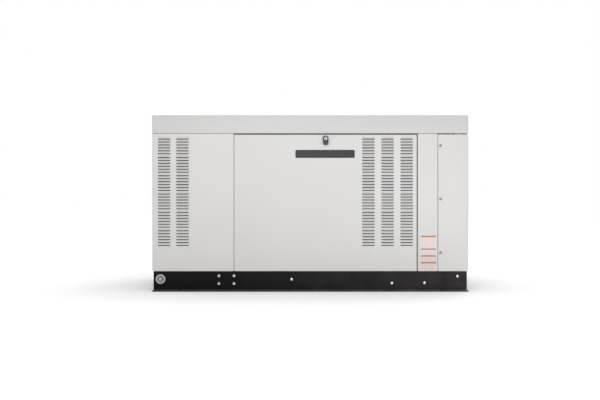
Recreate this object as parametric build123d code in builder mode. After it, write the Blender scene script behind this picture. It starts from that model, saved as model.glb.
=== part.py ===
from build123d import *
import os

# Home standby generator: a liquid-cooled engine and alternator on a steel base, inside a louvred
# sheet-steel enclosure whose front panel tilts out and lifts off.
# Millimetres. +X runs to the right seen from the front, +Y to the rear, +Z up.
# The origin is on the ground, under the middle of the enclosure.

# ---------------------------------------------------------------- driving dimensions
LENGTH = 1580.0  # enclosure, left end face to right end face
DEPTH = 700.0  # enclosure, front face to rear face
HEIGHT = 880.0  # ground to the top of the roof
BASE_HEIGHT = 98.0  # ground to the top of the base rails
ROOF_SKIRT = 93.0  # height of the roof's turned-down edges
SHEET = 1.5  # enclosure steel
PANEL_RETURN = 25.0  # depth of a panel's turned-in edges
PANEL_BEND = 3.0  # outer bend radius of a panel
CORNER_BEND = 8.0  # outer bend radius at the enclosure's vertical corners
RAIL_SHEET = 6.0  # base rail steel
RAIL_SETBACK = 6.0  # how far the base rails stand behind the panels
FOOT_WIDTH = 41.0  # base rail foot, outwards from the web
RAIL_TOP_WIDTH = 34.0  # base rail top flange, inwards from the web's face

RUNNING_FIT = 0.05  # radial clearance of a shaft in its hole

PANEL_BOTTOM = BASE_HEIGHT + 0.5
SKIRT_BOTTOM = HEIGHT - ROOF_SKIRT
PANEL_TOP = SKIRT_BOTTOM - 1.5
ACCESS_TOP = SKIRT_BOTTOM - 6.0  # the lift-out panel leaves a shadow gap under the roof
SEAM_LEFT = -381.0  # between the left panel and the lift-out panel
SEAM_POST = 534.5  # between the lift-out panel and the right post
SEAM_RIGHT = 637.5  # between the right post and the right panel
SEAM_GAP = 1.5
SHADOW_GAP = 2.5

LOUVRE_LENGTH = 64.0
LOUVRE_PITCH = 14.7
LOUVRE_GROUP_PITCH = 91.5
LOUVRE_GROUPS = 6
LOUVRES_PER_GROUP = 6
LOUVRE_TOP_ROW = 763.0
LEFT_LOUVRE_COLUMNS = (-729.5, -637.5)
ACCESS_LOUVRE_COLUMNS = (290.5, 386.0, 481.5)

LATCH_X = 77.0
LATCH_Z = 761.0

CRANK_Z = 270.0  # crankshaft, along X at y = 0
FAN_Z = 410.0
CHARGER_Y, CHARGER_Z = -185.0, 370.0
BELT_X = 491.0  # mid plane of the fan belt
CRANK_PULLEY_R, FAN_PULLEY_R, CHARGER_PULLEY_R = 65.0, 52.0, 30.0
CYLINDERS = (128.0, 216.0, 304.0, 392.0)
STATOR_R = 165.0

FACE_X, FACE_Y = LENGTH / 2, DEPTH / 2
WEB_Y = FACE_Y - RAIL_SETBACK
RAIL_END = FACE_X - RAIL_SETBACK - 1.0

# Panel planes: X runs along the panel, Y up and Z outwards. Their origin is on the ground line.
FRONT = Plane(origin=(0, -FACE_Y, 0), x_dir=(1, 0, 0), z_dir=(0, -1, 0))
REAR = Plane(origin=(0, FACE_Y, 0), x_dir=(-1, 0, 0), z_dir=(0, 1, 0))
LEFT_END = Plane(origin=(-FACE_X, 0, 0), x_dir=(0, -1, 0), z_dir=(-1, 0, 0))
RIGHT_END = Plane(origin=(FACE_X, 0, 0), x_dir=(0, 1, 0), z_dir=(1, 0, 0))

CUT = Mode.SUBTRACT

os.makedirs("parts", exist_ok=True)


def write(part, name):
    """Labels a finished piece and writes it as parts/NAME.step."""
    part.label = name
    export_step(part, f"parts/{name}.step")


def block(x, y, z, mode=Mode.ADD):
    """A box in the part being built, from the low to the high end of each axis."""
    with Locations(((x[0] + x[1]) / 2, (y[0] + y[1]) / 2, (z[0] + z[1]) / 2)):
        Box(x[1] - x[0], y[1] - y[0], z[1] - z[0], mode=mode)


def rod_x(y, z, x, radius, mode=Mode.ADD):
    """A cylinder along X in the part being built."""
    with Locations(Plane.YZ.offset(x[0])):
        with Locations((y, z)):
            Cylinder(radius, x[1] - x[0], align=(Align.CENTER, Align.CENTER, Align.MIN), mode=mode)


def rod_y(x, z, y, radius, mode=Mode.ADD):
    """A cylinder along Y in the part being built."""
    with Locations(Location((x, y[0], z), (-90, 0, 0))):
        Cylinder(radius, y[1] - y[0], align=(Align.CENTER, Align.CENTER, Align.MIN), mode=mode)


def rod_z(x, y, z, radius, mode=Mode.ADD):
    """A cylinder along Z in the part being built."""
    with Locations((x, y, z[0])):
        Cylinder(radius, z[1] - z[0], align=(Align.CENTER, Align.CENTER, Align.MIN), mode=mode)


def pipe(points, radius, bend):
    """A round solid swept along straight runs joined by arcs of the given radius."""
    with BuildPart() as run:
        with BuildLine():
            route = FilletPolyline(*points, radius=bend)
        with BuildSketch(Plane(origin=route @ 0, z_dir=route % 0)):
            Circle(radius)
        sweep()
    return run.part


# ---------------------------------------------------------------- base frame
def base_rail(bolt_holes):
    """The front base rail: a Z section with a foot outside and a flange inside, and anchor holes."""
    top, t = BASE_HEIGHT, RAIL_SHEET
    with BuildPart() as rail:
        with BuildSketch(Plane.YZ):
            with BuildLine():
                Polyline(
                    (-WEB_Y - FOOT_WIDTH, 0),
                    (-WEB_Y + t, 0),
                    (-WEB_Y + t, top - t),
                    (-WEB_Y + RAIL_TOP_WIDTH, top - t),
                    (-WEB_Y + RAIL_TOP_WIDTH, top),
                    (-WEB_Y, top),
                    (-WEB_Y, t),
                    (-WEB_Y - FOOT_WIDTH, t),
                    close=True,
                )
            outline = make_face()
            fillet(outline.vertices().group_by(Axis.Y)[-1].sort_by(Axis.X)[0], t)
            fillet([v for v in outline.vertices() if abs(v.X + WEB_Y) < 0.1 and abs(v.Y - t) < 0.1], t)
        extrude(amount=RAIL_END, both=True)
        with BuildSketch(Plane.XY):
            with Locations((0, -WEB_Y - ANCHOR_SETOUT)):
                with GridLocations(ANCHOR_SPACING_X, 0, 2, 1):
                    Circle(ANCHOR_HOLE_R)
        extrude(amount=t, mode=CUT)
        with BuildSketch(Plane.XY.offset(top - t)):
            with Locations(*[(x, -WEB_Y + 14) for x in TONGUE_X]):
                Rectangle(56, 16)
        extrude(amount=t, mode=CUT)
        for x, z in bolt_holes:
            rod_y(x, z, (-WEB_Y - 1, -WEB_Y + t + 1), BOLT_R + 0.5, mode=CUT)
        rod_y(PLUG_X, PLUG_Z, (-WEB_Y - 1, -WEB_Y + t + 1), PLUG_HOLE_R, mode=CUT)
    return rail.part


ANCHOR_SPACING_X = 1300.0
ANCHOR_SETOUT = 23.0
ANCHOR_HOLE_R = 9.0
TONGUE_X = (-220.0, 500.0)
BOLT_R = 5.0
PLUG_X, PLUG_Z, PLUG_HOLE_R = -748.0, 59.0, 19.0
SPLICE_BOLTS = [(x, z) for x in (-456.0, -380.5) for z in (36.0, 75.0)]
FRONT_BOLTS = SPLICE_BOLTS + [(-93.0, 58.0), (407.0, 38.0), (570.0, 40.0), (735.0, 73.0)]

write(base_rail(FRONT_BOLTS), "base_front_rail")
with BuildPart() as base_rear_rail:
    mirror(base_rail(FRONT_BOLTS), about=Plane.XZ)
    rod_y(PLUG_X, PLUG_Z, (WEB_Y - RAIL_SHEET, WEB_Y), PLUG_HOLE_R)
    rod_y(-600, 59, (WEB_Y - RAIL_SHEET - 1, WEB_Y + 1), 17.6, mode=CUT)
write(base_rear_rail.part, "base_rear_rail")

# Cross members: channels open downwards, between the rails, and the two end rails.
CROSS_X = (-450.0, -300.0, 130.0, 400.0, 612.0)
CROSS_WIDTH, CROSS_HEIGHT, CROSS_SHEET = 60.0, 56.0, 4.0
CROSS_TOP = BASE_HEIGHT - RAIL_SHEET
CROSS_END = WEB_Y - RAIL_SHEET - 0.5
with BuildPart() as base_crossmembers:
    for x in CROSS_X:
        with BuildSketch(Plane.XZ):
            with Locations((x, CROSS_TOP - CROSS_HEIGHT / 2)):
                Rectangle(CROSS_WIDTH, CROSS_HEIGHT)
            with Locations((x, CROSS_TOP - CROSS_HEIGHT / 2 - CROSS_SHEET)):
                Rectangle(CROSS_WIDTH - 2 * CROSS_SHEET, CROSS_HEIGHT, mode=CUT)
        extrude(amount=CROSS_END, both=True)
    for side in (-1, 1):
        outer, inner = side * RAIL_END, side * (RAIL_END - RAIL_SHEET)
        web = (min(outer, inner), max(outer, inner))
        lip_end = side * (RAIL_END - 28)
        lip = (min(outer, lip_end), max(outer, lip_end))
        lip_y = WEB_Y - RAIL_TOP_WIDTH - 0.5
        block(web, (-CROSS_END, CROSS_END), (0, CROSS_TOP - 0.5))
        block(web, (-lip_y, lip_y), (0, BASE_HEIGHT))
        block(lip, (-lip_y, lip_y), (CROSS_TOP, BASE_HEIGHT))
write(base_crossmembers.part, "base_crossmembers")

# Drip tray under the engine and radiator. The bay left of it stays open for the cables from below.
PAN_LEFT, PAN_RIGHT, PAN_Z = -430.0, 770.0, 12.0
with BuildPart() as base_floor_pan:
    block((PAN_LEFT, PAN_RIGHT), (-CROSS_END + 1, CROSS_END - 1), (PAN_Z, PAN_Z + 14))
    offset(amount=-SHEET, openings=base_floor_pan.faces().sort_by(Axis.Z)[-1])
write(base_floor_pan.part, "base_floor_pan")

# Hex flange bolts through the rails, front and rear.
with BuildPart() as base_bolts:
    for x, z in FRONT_BOLTS:
        for side in (-1, 1):
            face = Plane(origin=(x, side * WEB_Y, z), x_dir=(1, 0, 0), z_dir=(0, side, 0))
            with BuildSketch(face):
                Circle(10.5)
            extrude(amount=1.8)
            with BuildSketch(face.offset(1.8)):
                RegularPolygon(7.5, 6, major_radius=False)
            extrude(amount=5.6)
            with BuildSketch(face):
                Circle(BOLT_R)
            extrude(amount=-18)
write(base_bolts.part, "base_bolts")

# Round plug in the rail's left hole: a flanged cap with a raised square.
with BuildPart() as base_plug:
    rod_y(PLUG_X, PLUG_Z, (-WEB_Y - 5, -WEB_Y), 24)
    chamfer(base_plug.edges().sort_by(Axis.Y)[0], 1.5)
    rod_y(PLUG_X, PLUG_Z, (-WEB_Y, -WEB_Y + 10), PLUG_HOLE_R - 0.3)
    rod_y(PLUG_X, PLUG_Z, (-WEB_Y - 5, -WEB_Y - 3), 16, mode=CUT)
    block((PLUG_X - 7, PLUG_X + 7), (-WEB_Y - 9, -WEB_Y - 2), (PLUG_Z - 7, PLUG_Z + 7))
write(base_plug.part, "base_plug")

# Fuel inlet: a 3/4 inch coupling in the rear rail, and the steel pipe from it to the regulator.
INLET_X, INLET_Z, INLET_R, INLET_LENGTH = -600.0, 59.0, 12.6, 32.0
REGULATOR_Z = 430.0
with BuildPart() as fuel_inlet_pipe:
    rod_y(INLET_X, INLET_Z, (WEB_Y - 22, WEB_Y + 20), 17.3)
    rod_y(INLET_X, INLET_Z, (WEB_Y + 20 - INLET_LENGTH, WEB_Y + 20), INLET_R, mode=CUT)
    add(
        pipe(
            [(INLET_X, WEB_Y - 22, INLET_Z), (INLET_X, 250, INLET_Z), (INLET_X, 250, REGULATOR_Z - 76)],
            13.3,
            34,
        )
    )
write(fuel_inlet_pipe.part, "fuel_inlet_pipe")


# ---------------------------------------------------------------- inner frame
# Corner and seam posts, the headers under the roof, and the air dam round the radiator.
HEADER_BOTTOM = SKIRT_BOTTOM + 1.0
POST_TOP = HEADER_BOTTOM
POST_FRONT = FACE_Y - PANEL_RETURN - 2  # front face of the inner posts
KEEPER_BOTTOM = LATCH_Z + 11
CORE_X, CORE_Y, CORE_Z = (588.0, 636.0), 250.0, (152.0, 660.0)  # radiator core
EXHAUST_PIPE_Y, MUFFLER_Z, EXHAUST_PIPE_R = 286.0, 560.0, 23.0
DAM_X = (650.0, 652.0)
with BuildPart() as inner_frame:
    for side_x in (-1, 1):
        for side_y in (-1, 1):
            x, y = side_x * (FACE_X - PANEL_RETURN - 2), side_y * POST_FRONT
            far_x, far_y = x - side_x * 36, y - side_y * 36
            near_x, near_y = x - side_x * 2, y - side_y * 2
            z = (BASE_HEIGHT, POST_TOP)
            block((min(x, far_x), max(x, far_x)), (min(y, near_y), max(y, near_y)), z)
            block((min(x, near_x), max(x, near_x)), (min(y, far_y), max(y, far_y)), z)
    for x in (SEAM_LEFT, SEAM_POST + 18):
        for side_y in (-1, 1):
            y = sorted((side_y * POST_FRONT, side_y * (POST_FRONT - 10)))
            block((x - 24, x + 24), y, (BASE_HEIGHT, POST_TOP))
            inner_y = sorted((side_y * (POST_FRONT - 2), side_y * (POST_FRONT - 12)))
            block((x - 22, x + 22), inner_y, (BASE_HEIGHT, POST_TOP), mode=CUT)
    for side_y in (-1, 1):
        leg = sorted((side_y * (FACE_Y - 18), side_y * (FACE_Y - 20)))
        shelf = sorted((side_y * (FACE_Y - 18), side_y * (FACE_Y - 64)))
        block((-FACE_X + 6, FACE_X - 6), leg, (HEADER_BOTTOM, HEIGHT - 30))
        block((-FACE_X + 6, FACE_X - 6), shelf, (HEADER_BOTTOM, HEADER_BOTTOM + 2))
    dam_top = HEADER_BOTTOM + 1
    for side in (-1, 1):
        block(DAM_X, sorted((side * (POST_FRONT - 1), side * (CORE_Y - 6))), (BASE_HEIGHT, dam_top))
    block(DAM_X, (-CORE_Y, CORE_Y), (BASE_HEIGHT, CORE_Z[0] - 4))
    block(DAM_X, (-CORE_Y, CORE_Y), (CORE_Z[1] + 4, dam_top))
    rod_x(EXHAUST_PIPE_Y, MUFFLER_Z, (DAM_X[0] - 1, DAM_X[1] + 1), EXHAUST_PIPE_R + 6, mode=CUT)
    for side_x in (-1, 1):
        end_shelf = sorted((side_x * (FACE_X - 7), side_x * (FACE_X - 64)))
        block(end_shelf, (-FACE_Y + 30, FACE_Y - 30), (HEADER_BOTTOM, HEADER_BOTTOM + 2))
# The latch's keeper: a plate hung under the front header's shelf.
with BuildPart() as latch_keeper:
    block((LATCH_X - 22, LATCH_X + 22), (-321, -318), (KEEPER_BOTTOM, HEADER_BOTTOM))
write(Compound(children=[inner_frame.part, latch_keeper.part]), "inner_frame")


# ---------------------------------------------------------------- panels
HOOD_OUT = 5.0  # how far a louvre hood stands off its sheet
HOOD_SHEET = 1.3
LOUVRE_MARGIN = 10.0  # plain sheet above and below a column of louvres
HOOD_RISE, HOOD_LIP = 6.0, 2.6  # from a louvre's middle up to the bend, and down to the open lip
LOUVRE_ROWS = [
    LOUVRE_TOP_ROW - group * LOUVRE_GROUP_PITCH - row * LOUVRE_PITCH
    for group in range(LOUVRE_GROUPS)
    for row in range(LOUVRES_PER_GROUP)
]


def louvre_outlines(rows):
    """Sections across a louvre column, as (outwards, up): each hood with its sheet, then the cheek."""
    low, high = rows[-1] - LOUVRE_MARGIN, rows[0] + LOUVRE_MARGIN
    upwards = sorted(rows)
    inner = HOOD_OUT - HOOD_SHEET
    foot = upwards[0] - HOOD_LIP
    hoods = [[(0, low), (0, foot), (-SHEET, foot), (-SHEET, low)]]
    cheek = [(-SHEET, high), (-SHEET, low), (0, low)]
    for row, above in zip(upwards, upwards[1:] + [high + HOOD_LIP]):
        nose = [(HOOD_OUT, row - HOOD_LIP), (HOOD_OUT, row + 0.4), (0, row + HOOD_RISE)]
        sheet = [(0, above - HOOD_LIP), (-SHEET, above - HOOD_LIP), (-SHEET, row + HOOD_RISE - 1.6)]
        hoods.append(nose + sheet + [(inner, row), (inner, row - HOOD_LIP)])
        cheek += [(0, row - HOOD_LIP)] + nose
    cheek.append((0, high))
    return hoods, cheek


def louvre_bank(plane, columns, rows, inwards):
    """The pressed sheet of each louvre column, for a window of the same size: hoods between cheeks."""
    hoods, cheek = louvre_outlines(rows)
    half = LOUVRE_LENGTH / 2
    strips = [(hood, HOOD_SHEET - half, LOUVRE_LENGTH - 2 * HOOD_SHEET) for hood in hoods]
    strips += [(cheek, -half, HOOD_SHEET), (cheek, half - HOOD_SHEET, HOOD_SHEET)]
    pressings = []
    for u in columns:
        origin = plane.from_local_coords((u, 0, 0))
        section = Plane(origin=origin, x_dir=plane.z_dir, z_dir=-plane.x_dir)
        for outline, start, length in strips:
            points = [(-SHEET - w, v) if inwards else (w, v) for w, v in outline]
            corners = [section.offset(start).from_local_coords((w, v, 0)) for w, v in points]
            pressings.append(Solid.extrude(Face(Wire.make_polygon(corners)), section.z_dir * length))
    return pressings


def panel(plane, left, right, top, columns=(), rows=(), wrap="", inwards=False):
    """A sheet panel with turned-in edges. wrap names the side, left or right, with the corner bend."""
    middle, width = (left + right) / 2, right - left
    with BuildPart(plane) as pan:
        with Locations((middle, (PANEL_BOTTOM + top) / 2, -PANEL_RETURN / 2)):
            Box(width, top - PANEL_BOTTOM, PANEL_RETURN)
        face = pan.faces().sort_by(Axis(plane.origin, plane.z_dir))[-1]
        edges = face.edges().sort_by(Axis(plane.origin, plane.x_dir))
        if wrap == "left":
            fillet(edges[0], CORNER_BEND)
            rest = [edges[-1]]
        elif wrap == "right":
            fillet(edges[-1], CORNER_BEND)
            rest = [edges[0]]
        else:
            rest = [edges[0], edges[-1]]
        face = pan.faces().sort_by(Axis(plane.origin, plane.z_dir))[-1]
        middles = [e.center() for e in rest]
        bends = [e for e in face.edges() if min((e.center() - m).length for m in middles) < 9]
        fillet(bends, PANEL_BEND)
        back = pan.faces().sort_by(Axis(plane.origin, plane.z_dir))[0]
        offset(amount=-SHEET, openings=back)
        if columns:
            low, high = rows[-1] - LOUVRE_MARGIN, rows[0] + LOUVRE_MARGIN
            with Locations(*[(u, (low + high) / 2, -SHEET / 2) for u in columns]):
                Box(LOUVRE_LENGTH, high - low, 2 * SHEET, mode=CUT)
    if not columns:
        return pan.part
    with BuildPart() as louvred:
        add(pan.part)
        add(louvre_bank(plane, columns, rows, inwards))
    return louvred.part


GAP = SEAM_GAP / 2
END_WIDTH = FACE_Y - PANEL_RETURN - 1
END_COLUMNS = (-191.0, -95.5, 0.0, 95.5, 191.0)
REAR_COLUMNS = tuple(-x for x in ACCESS_LOUVRE_COLUMNS)

LEFT_WIDTH = FACE_X + SEAM_LEFT - GAP
REAR_LEFT_COLUMNS = tuple(-x for x in LEFT_LOUVRE_COLUMNS[::-1])
PANELS = {
    "left_front_panel": (FRONT, -FACE_X, -FACE_X + LEFT_WIDTH, LEFT_LOUVRE_COLUMNS, "left"),
    "left_end_panel": (LEFT_END, -END_WIDTH, END_WIDTH, END_COLUMNS, "in"),
    "right_end_panel": (RIGHT_END, -END_WIDTH, END_WIDTH, END_COLUMNS, "in"),
    "rear_left_panel": (REAR, FACE_X - LEFT_WIDTH, FACE_X, REAR_LEFT_COLUMNS, "right"),
    "rear_center_panel": (REAR, -SEAM_POST + GAP, -SEAM_LEFT - GAP, REAR_COLUMNS, ""),
    "rear_right_panel": (REAR, -FACE_X, -SEAM_POST - GAP, (), "left"),
}
for name, (plane, left, right, columns, kind) in PANELS.items():
    write(panel(plane, left, right, PANEL_TOP, columns, LOUVRE_ROWS, kind, kind == "in"), name)

with BuildPart() as front_right_post:
    add(panel(FRONT, SEAM_POST + SHADOW_GAP, SEAM_RIGHT - GAP, PANEL_TOP))
write(front_right_post.part, "front_right_post")

# The right panel is held by three screws beside the post, and so is its rear twin.
SCREW_ROWS = (725.0, 459.0, 191.0)
SCREW_X = SEAM_RIGHT + 13.5
SCREW_R = 3.0
with BuildPart() as right_front_panel:
    add(panel(FRONT, SEAM_RIGHT + GAP, FACE_X, PANEL_TOP, wrap="right"))
    for z in SCREW_ROWS:
        rod_y(SCREW_X, z, (-FACE_Y - 1, -FACE_Y + 3), SCREW_R + 0.4, mode=CUT)
write(right_front_panel.part, "right_front_panel")

with BuildPart() as panel_screws:
    for z in SCREW_ROWS:
        rod_y(SCREW_X, z, (-FACE_Y - 3.2, -FACE_Y), 6.5)
        rod_y(SCREW_X, z, (-FACE_Y, -FACE_Y + 14), SCREW_R)
    fillet(panel_screws.edges().group_by(Axis.Y)[0], 2.2)
    for z in SCREW_ROWS:
        slot_y = (-FACE_Y - 4, -FACE_Y - 1.8)
        block((SCREW_X - 0.8, SCREW_X + 0.8), slot_y, (z - 4, z + 4), mode=CUT)
write(panel_screws.part, "panel_screws")

# Blank label plates down the right post, and the blank nameplate on the lift-out panel.
LABEL_X = (553.0, 628.0)
LABEL_ROWS = ((215.0, 276.0), (183.0, 212.0), (148.0, 178.0), (110.0, 144.0))
with BuildPart() as label_plates:
    for low, high in LABEL_ROWS:
        block(LABEL_X, (-FACE_Y - 0.6, -FACE_Y), (low, high))
    fillet(label_plates.edges().filter_by(Axis.Y), 2)
write(label_plates.part, "label_plates")

with BuildPart() as nameplate:
    block((-76, 224), (-FACE_Y - 1.2, -FACE_Y), (662, 706))
    fillet(nameplate.edges().filter_by(Axis.Y), 8)
write(nameplate.part, "nameplate")

# Roof: a shallow tray upside down, with a hem turned in along the foot of its skirt.
with BuildPart() as roof:
    block((-FACE_X, FACE_X), (-FACE_Y, FACE_Y), (SKIRT_BOTTOM, HEIGHT))
    fillet(roof.edges().filter_by(Axis.Z), CORNER_BEND)
    fillet(roof.faces().sort_by(Axis.Z)[-1].edges(), 5)
    offset(amount=-2, openings=roof.faces().sort_by(Axis.Z)[0])
    with BuildSketch(Plane.XY.offset(SKIRT_BOTTOM)):
        RectangleRounded(LENGTH - 2, DEPTH - 2, CORNER_BEND - 1)
        RectangleRounded(LENGTH - 26, DEPTH - 26, 2, mode=CUT)
    extrude(amount=SHEET - 0.6)
write(roof.part, "roof")


# ---------------------------------------------------------------- lift-out front panel
HINGE_Y, HINGE_Z = -FACE_Y + PANEL_BEND, PANEL_BOTTOM + PANEL_BEND
with BuildPart() as front_panel:
    add(
        panel(
            FRONT,
            SEAM_LEFT + GAP,
            SEAM_POST - SHADOW_GAP,
            ACCESS_TOP,
            ACCESS_LOUVRE_COLUMNS,
            LOUVRE_ROWS,
        )
    )
    long_edges = front_panel.edges().filter_by(Axis.X).filter_by(lambda e: e.length > 800)
    fillet(long_edges.group_by(Axis.Z)[0].sort_by(Axis.Y)[0], PANEL_BEND - 0.2)
    rod_y(LATCH_X, LATCH_Z, (-FACE_Y - 1, -FACE_Y + 4), 9.0, mode=CUT)
    for x in TONGUE_X:
        block((x - 20, x + 20), (-336, -333), (PANEL_BOTTOM - 11, PANEL_BOTTOM + SHEET))
    block((-345, -327), (-FACE_Y + 20, -FACE_Y + 22), (PANEL_BOTTOM + 1, ACCESS_TOP - 1))
write(front_panel.part, "front_panel")

PAD_X, PAD_Z = (-320.0, 232.0), (118.0, 730.0)
with BuildPart() as front_panel_insulation:
    block(PAD_X, (-FACE_Y + SHEET, -FACE_Y + 26), PAD_Z)
    fillet(front_panel_insulation.edges().filter_by(Axis.Y), 12)
    chamfer(front_panel_insulation.faces().sort_by(Axis.Y)[-1].edges(), 5)
write(front_panel_insulation.part, "front_panel_insulation")

# Latch: a round body clamped in the panel, a drop handle with a keyed cylinder, and a cam inside.
SPINDLE_R = 5.0
with BuildPart() as latch_body:
    rod_y(LATCH_X, LATCH_Z, (-FACE_Y - 4, -FACE_Y), 14.5)
    fillet(latch_body.edges().sort_by(Axis.Y)[0], 1.5)
    rod_y(LATCH_X, LATCH_Z, (-FACE_Y, -FACE_Y + 14), 8.7)
    rod_y(LATCH_X, LATCH_Z, (-FACE_Y + SHEET, -FACE_Y + 6), 13)
    rod_y(LATCH_X, LATCH_Z, (-FACE_Y - 5, -FACE_Y + 15), SPINDLE_R + RUNNING_FIT, mode=CUT)
write(latch_body.part, "latch_body")

KNOB_Y = -FACE_Y - 4.5
with BuildPart() as latch_handle:
    with BuildSketch(Plane(origin=(LATCH_X, KNOB_Y, LATCH_Z), x_dir=(1, 0, 0), z_dir=(0, -1, 0))) as grip:
        Circle(13)
        with Locations((0, -17)):
            Trapezoid(24, 34, 83)
        fillet(grip.vertices().group_by(Axis.Y)[0], 5)
    extrude(amount=12)
    chamfer(latch_handle.faces().sort_by(Axis.Y)[0].edges(), 1.5)
    finger = (LATCH_Z - 31, LATCH_Z - 14)
    block((LATCH_X - 8, LATCH_X + 8), (KNOB_Y - 13, KNOB_Y - 7.5), finger, mode=CUT)
    rod_y(LATCH_X, LATCH_Z, (KNOB_Y - 14, KNOB_Y - 11), 8.5)
    keyway = (LATCH_Z - 4, LATCH_Z + 4)
    block((LATCH_X - 0.9, LATCH_X + 0.9), (KNOB_Y - 15, KNOB_Y - 12), keyway, mode=CUT)
    rod_y(LATCH_X, LATCH_Z, (KNOB_Y, -309), SPINDLE_R)
write(latch_handle.part, "latch_handle")

CAM_Y = (-316.0, -312.0)
with BuildPart() as cam_arm:
    block((LATCH_X - 8, LATCH_X + 22), CAM_Y, (LATCH_Z - 7, LATCH_Z + 7))
    fillet(cam_arm.edges().filter_by(Axis.Y), 4)
    rod_y(LATCH_X, LATCH_Z, (CAM_Y[0] - 1, CAM_Y[1] + 1), SPINDLE_R, mode=CUT)
# The nut that holds the arm on its spindle.
with BuildPart() as cam_nut:
    with BuildSketch(Plane(origin=(LATCH_X, CAM_Y[0] - 5, LATCH_Z), x_dir=(1, 0, 0), z_dir=(0, 1, 0))):
        RegularPolygon(8, 6, major_radius=False)
        Circle(SPINDLE_R, mode=CUT)
    extrude(amount=5)
write(Compound(children=[cam_arm.part, cam_nut.part]), "latch_cam")

# ---------------------------------------------------------------- engine
BLOCK_X = (70.0, 450.0)
PAN_RAIL_Z, DECK_Z = 190.0, 430.0
JOURNAL_R, NOSE_R, PUMP_SHAFT_R = 27.5, 16.0, 11.5

# Front cover with the water pump's body and its inlet neck.
with BuildPart() as timing_cover:
    with BuildSketch(Plane.YZ.offset(BLOCK_X[1])) as cover:
        with Locations((0, 300)):
            RectangleRounded(210, 200, 30)
        with Locations((0, FAN_Z)):
            Circle(56)
    extrude(amount=20)
    chamfer(timing_cover.faces().sort_by(Axis.X)[-1].edges(), 4)
    rod_x(0, FAN_Z, (BLOCK_X[1] + 20, BLOCK_X[1] + 27), 30)
    rod_y(464, 330, (80, 114), 12)
    rod_x(0, CRANK_Z, (BLOCK_X[1] - 1, BLOCK_X[1] + 21), NOSE_R + RUNNING_FIT, mode=CUT)
    rod_x(0, FAN_Z, (BLOCK_X[1] + 4, BLOCK_X[1] + 28), PUMP_SHAFT_R + RUNNING_FIT, mode=CUT)
    for y, z in [(-90, 215), (90, 215), (-90, 380), (90, 380), (-95, 300), (-50, 215), (50, 215)]:
        rod_x(y, z, (BLOCK_X[1] + 19, BLOCK_X[1] + 24), 6)
with BuildPart() as engine_block:
    with BuildSketch(Plane.YZ.offset(BLOCK_X[0])) as casting:
        Polygon(
            (-95, PAN_RAIL_Z),
            (95, PAN_RAIL_Z),
            (120, 235),
            (120, 300),
            (94, 335),
            (94, DECK_Z),
            (-94, DECK_Z),
            (-94, 335),
            (-120, 300),
            (-120, 235),
            align=None,
        )
    extrude(amount=BLOCK_X[1] - BLOCK_X[0])
    fillet(engine_block.edges().filter_by(Axis.X).filter_by_position(Axis.Z, 195, 425), 7)
    for x in (70, 158, 246, 334, 422):
        block((x, x + 12), (-124, 124), (225, 310))
    for x in (165, 253, 341):
        rod_y(x + 7, 380, (-98, 98), 15)
    block((BLOCK_X[0] + 14, BLOCK_X[1] - 14), (-82, 82), (PAN_RAIL_Z - 1, 341), mode=CUT)
    for x in CYLINDERS:
        rod_z(x, 0, (340, DECK_Z + 1), 38, mode=CUT)
    rod_x(0, CRANK_Z, (BLOCK_X[0] - 1, BLOCK_X[1]), JOURNAL_R + RUNNING_FIT, mode=CUT)
    rod_y(300, 275, (-126, -120), 30)
    add(timing_cover.part)
write(engine_block.part, "engine_block")

# Oil pan, with the dipstick's guide tube standing beside it on the block.
TUBE_X, TUBE_Y = 360.0, -136.0
DIPSTICK_TOP = 560.0
with BuildPart() as oil_pan:
    with BuildSketch(Plane.XY.offset(PAN_RAIL_Z - 6)):
        with Locations(((BLOCK_X[0] + BLOCK_X[1]) / 2, 0)):
            Rectangle(370, 186)
    extrude(amount=-70, taper=12)
    offset(amount=-2.5, openings=oil_pan.faces().sort_by(Axis.Z)[-1])
    with BuildSketch(Plane.XY.offset(PAN_RAIL_Z - 6)):
        with Locations(((BLOCK_X[0] + BLOCK_X[1]) / 2, 0)):
            RectangleRounded(380, 190, 6)
            Rectangle(350, 166, mode=CUT)
    extrude(amount=6)
    rod_z(300, 0, (108, 116.5), 11)
    add(pipe([(TUBE_X, -84, 150), (TUBE_X, TUBE_Y, 150), (TUBE_X, TUBE_Y, DIPSTICK_TOP - 20)], 6.5, 24))
    rod_z(TUBE_X, TUBE_Y, (250, DIPSTICK_TOP - 19), 4, mode=CUT)
write(oil_pan.part, "oil_pan")

with BuildPart() as dipstick:
    rod_z(TUBE_X, TUBE_Y, (270, DIPSTICK_TOP - 19.5), 2)
    rod_z(TUBE_X, TUBE_Y, (DIPSTICK_TOP - 34, DIPSTICK_TOP - 19), 4 - RUNNING_FIT)
    rod_z(TUBE_X, TUBE_Y, (DIPSTICK_TOP - 19.5, DIPSTICK_TOP - 2), 7.5)
    ring = Plane(origin=(TUBE_X, TUBE_Y - 3, DIPSTICK_TOP + 12), x_dir=(1, 0, 0), z_dir=(0, 1, 0))
    with BuildSketch(ring):
        Circle(16)
        Circle(10, mode=CUT)
    extrude(amount=6)
write(dipstick.part, "dipstick")

with BuildPart() as cylinder_head:
    block(BLOCK_X, (-84, 84), (DECK_Z, 512))
    fillet(cylinder_head.edges().filter_by(Axis.Z), 8)
    for x in CYLINDERS:
        rod_y(x, 478, (-88, 88), 24)
        rod_y(x + 30, 444, (-104, -80), 9)
    rod_x(60, 485, (BLOCK_X[1], BLOCK_X[1] + 10), 20)
    block((84, 436), (-60, 60), (462, 513), mode=CUT)
write(cylinder_head.part, "cylinder_head")

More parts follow.
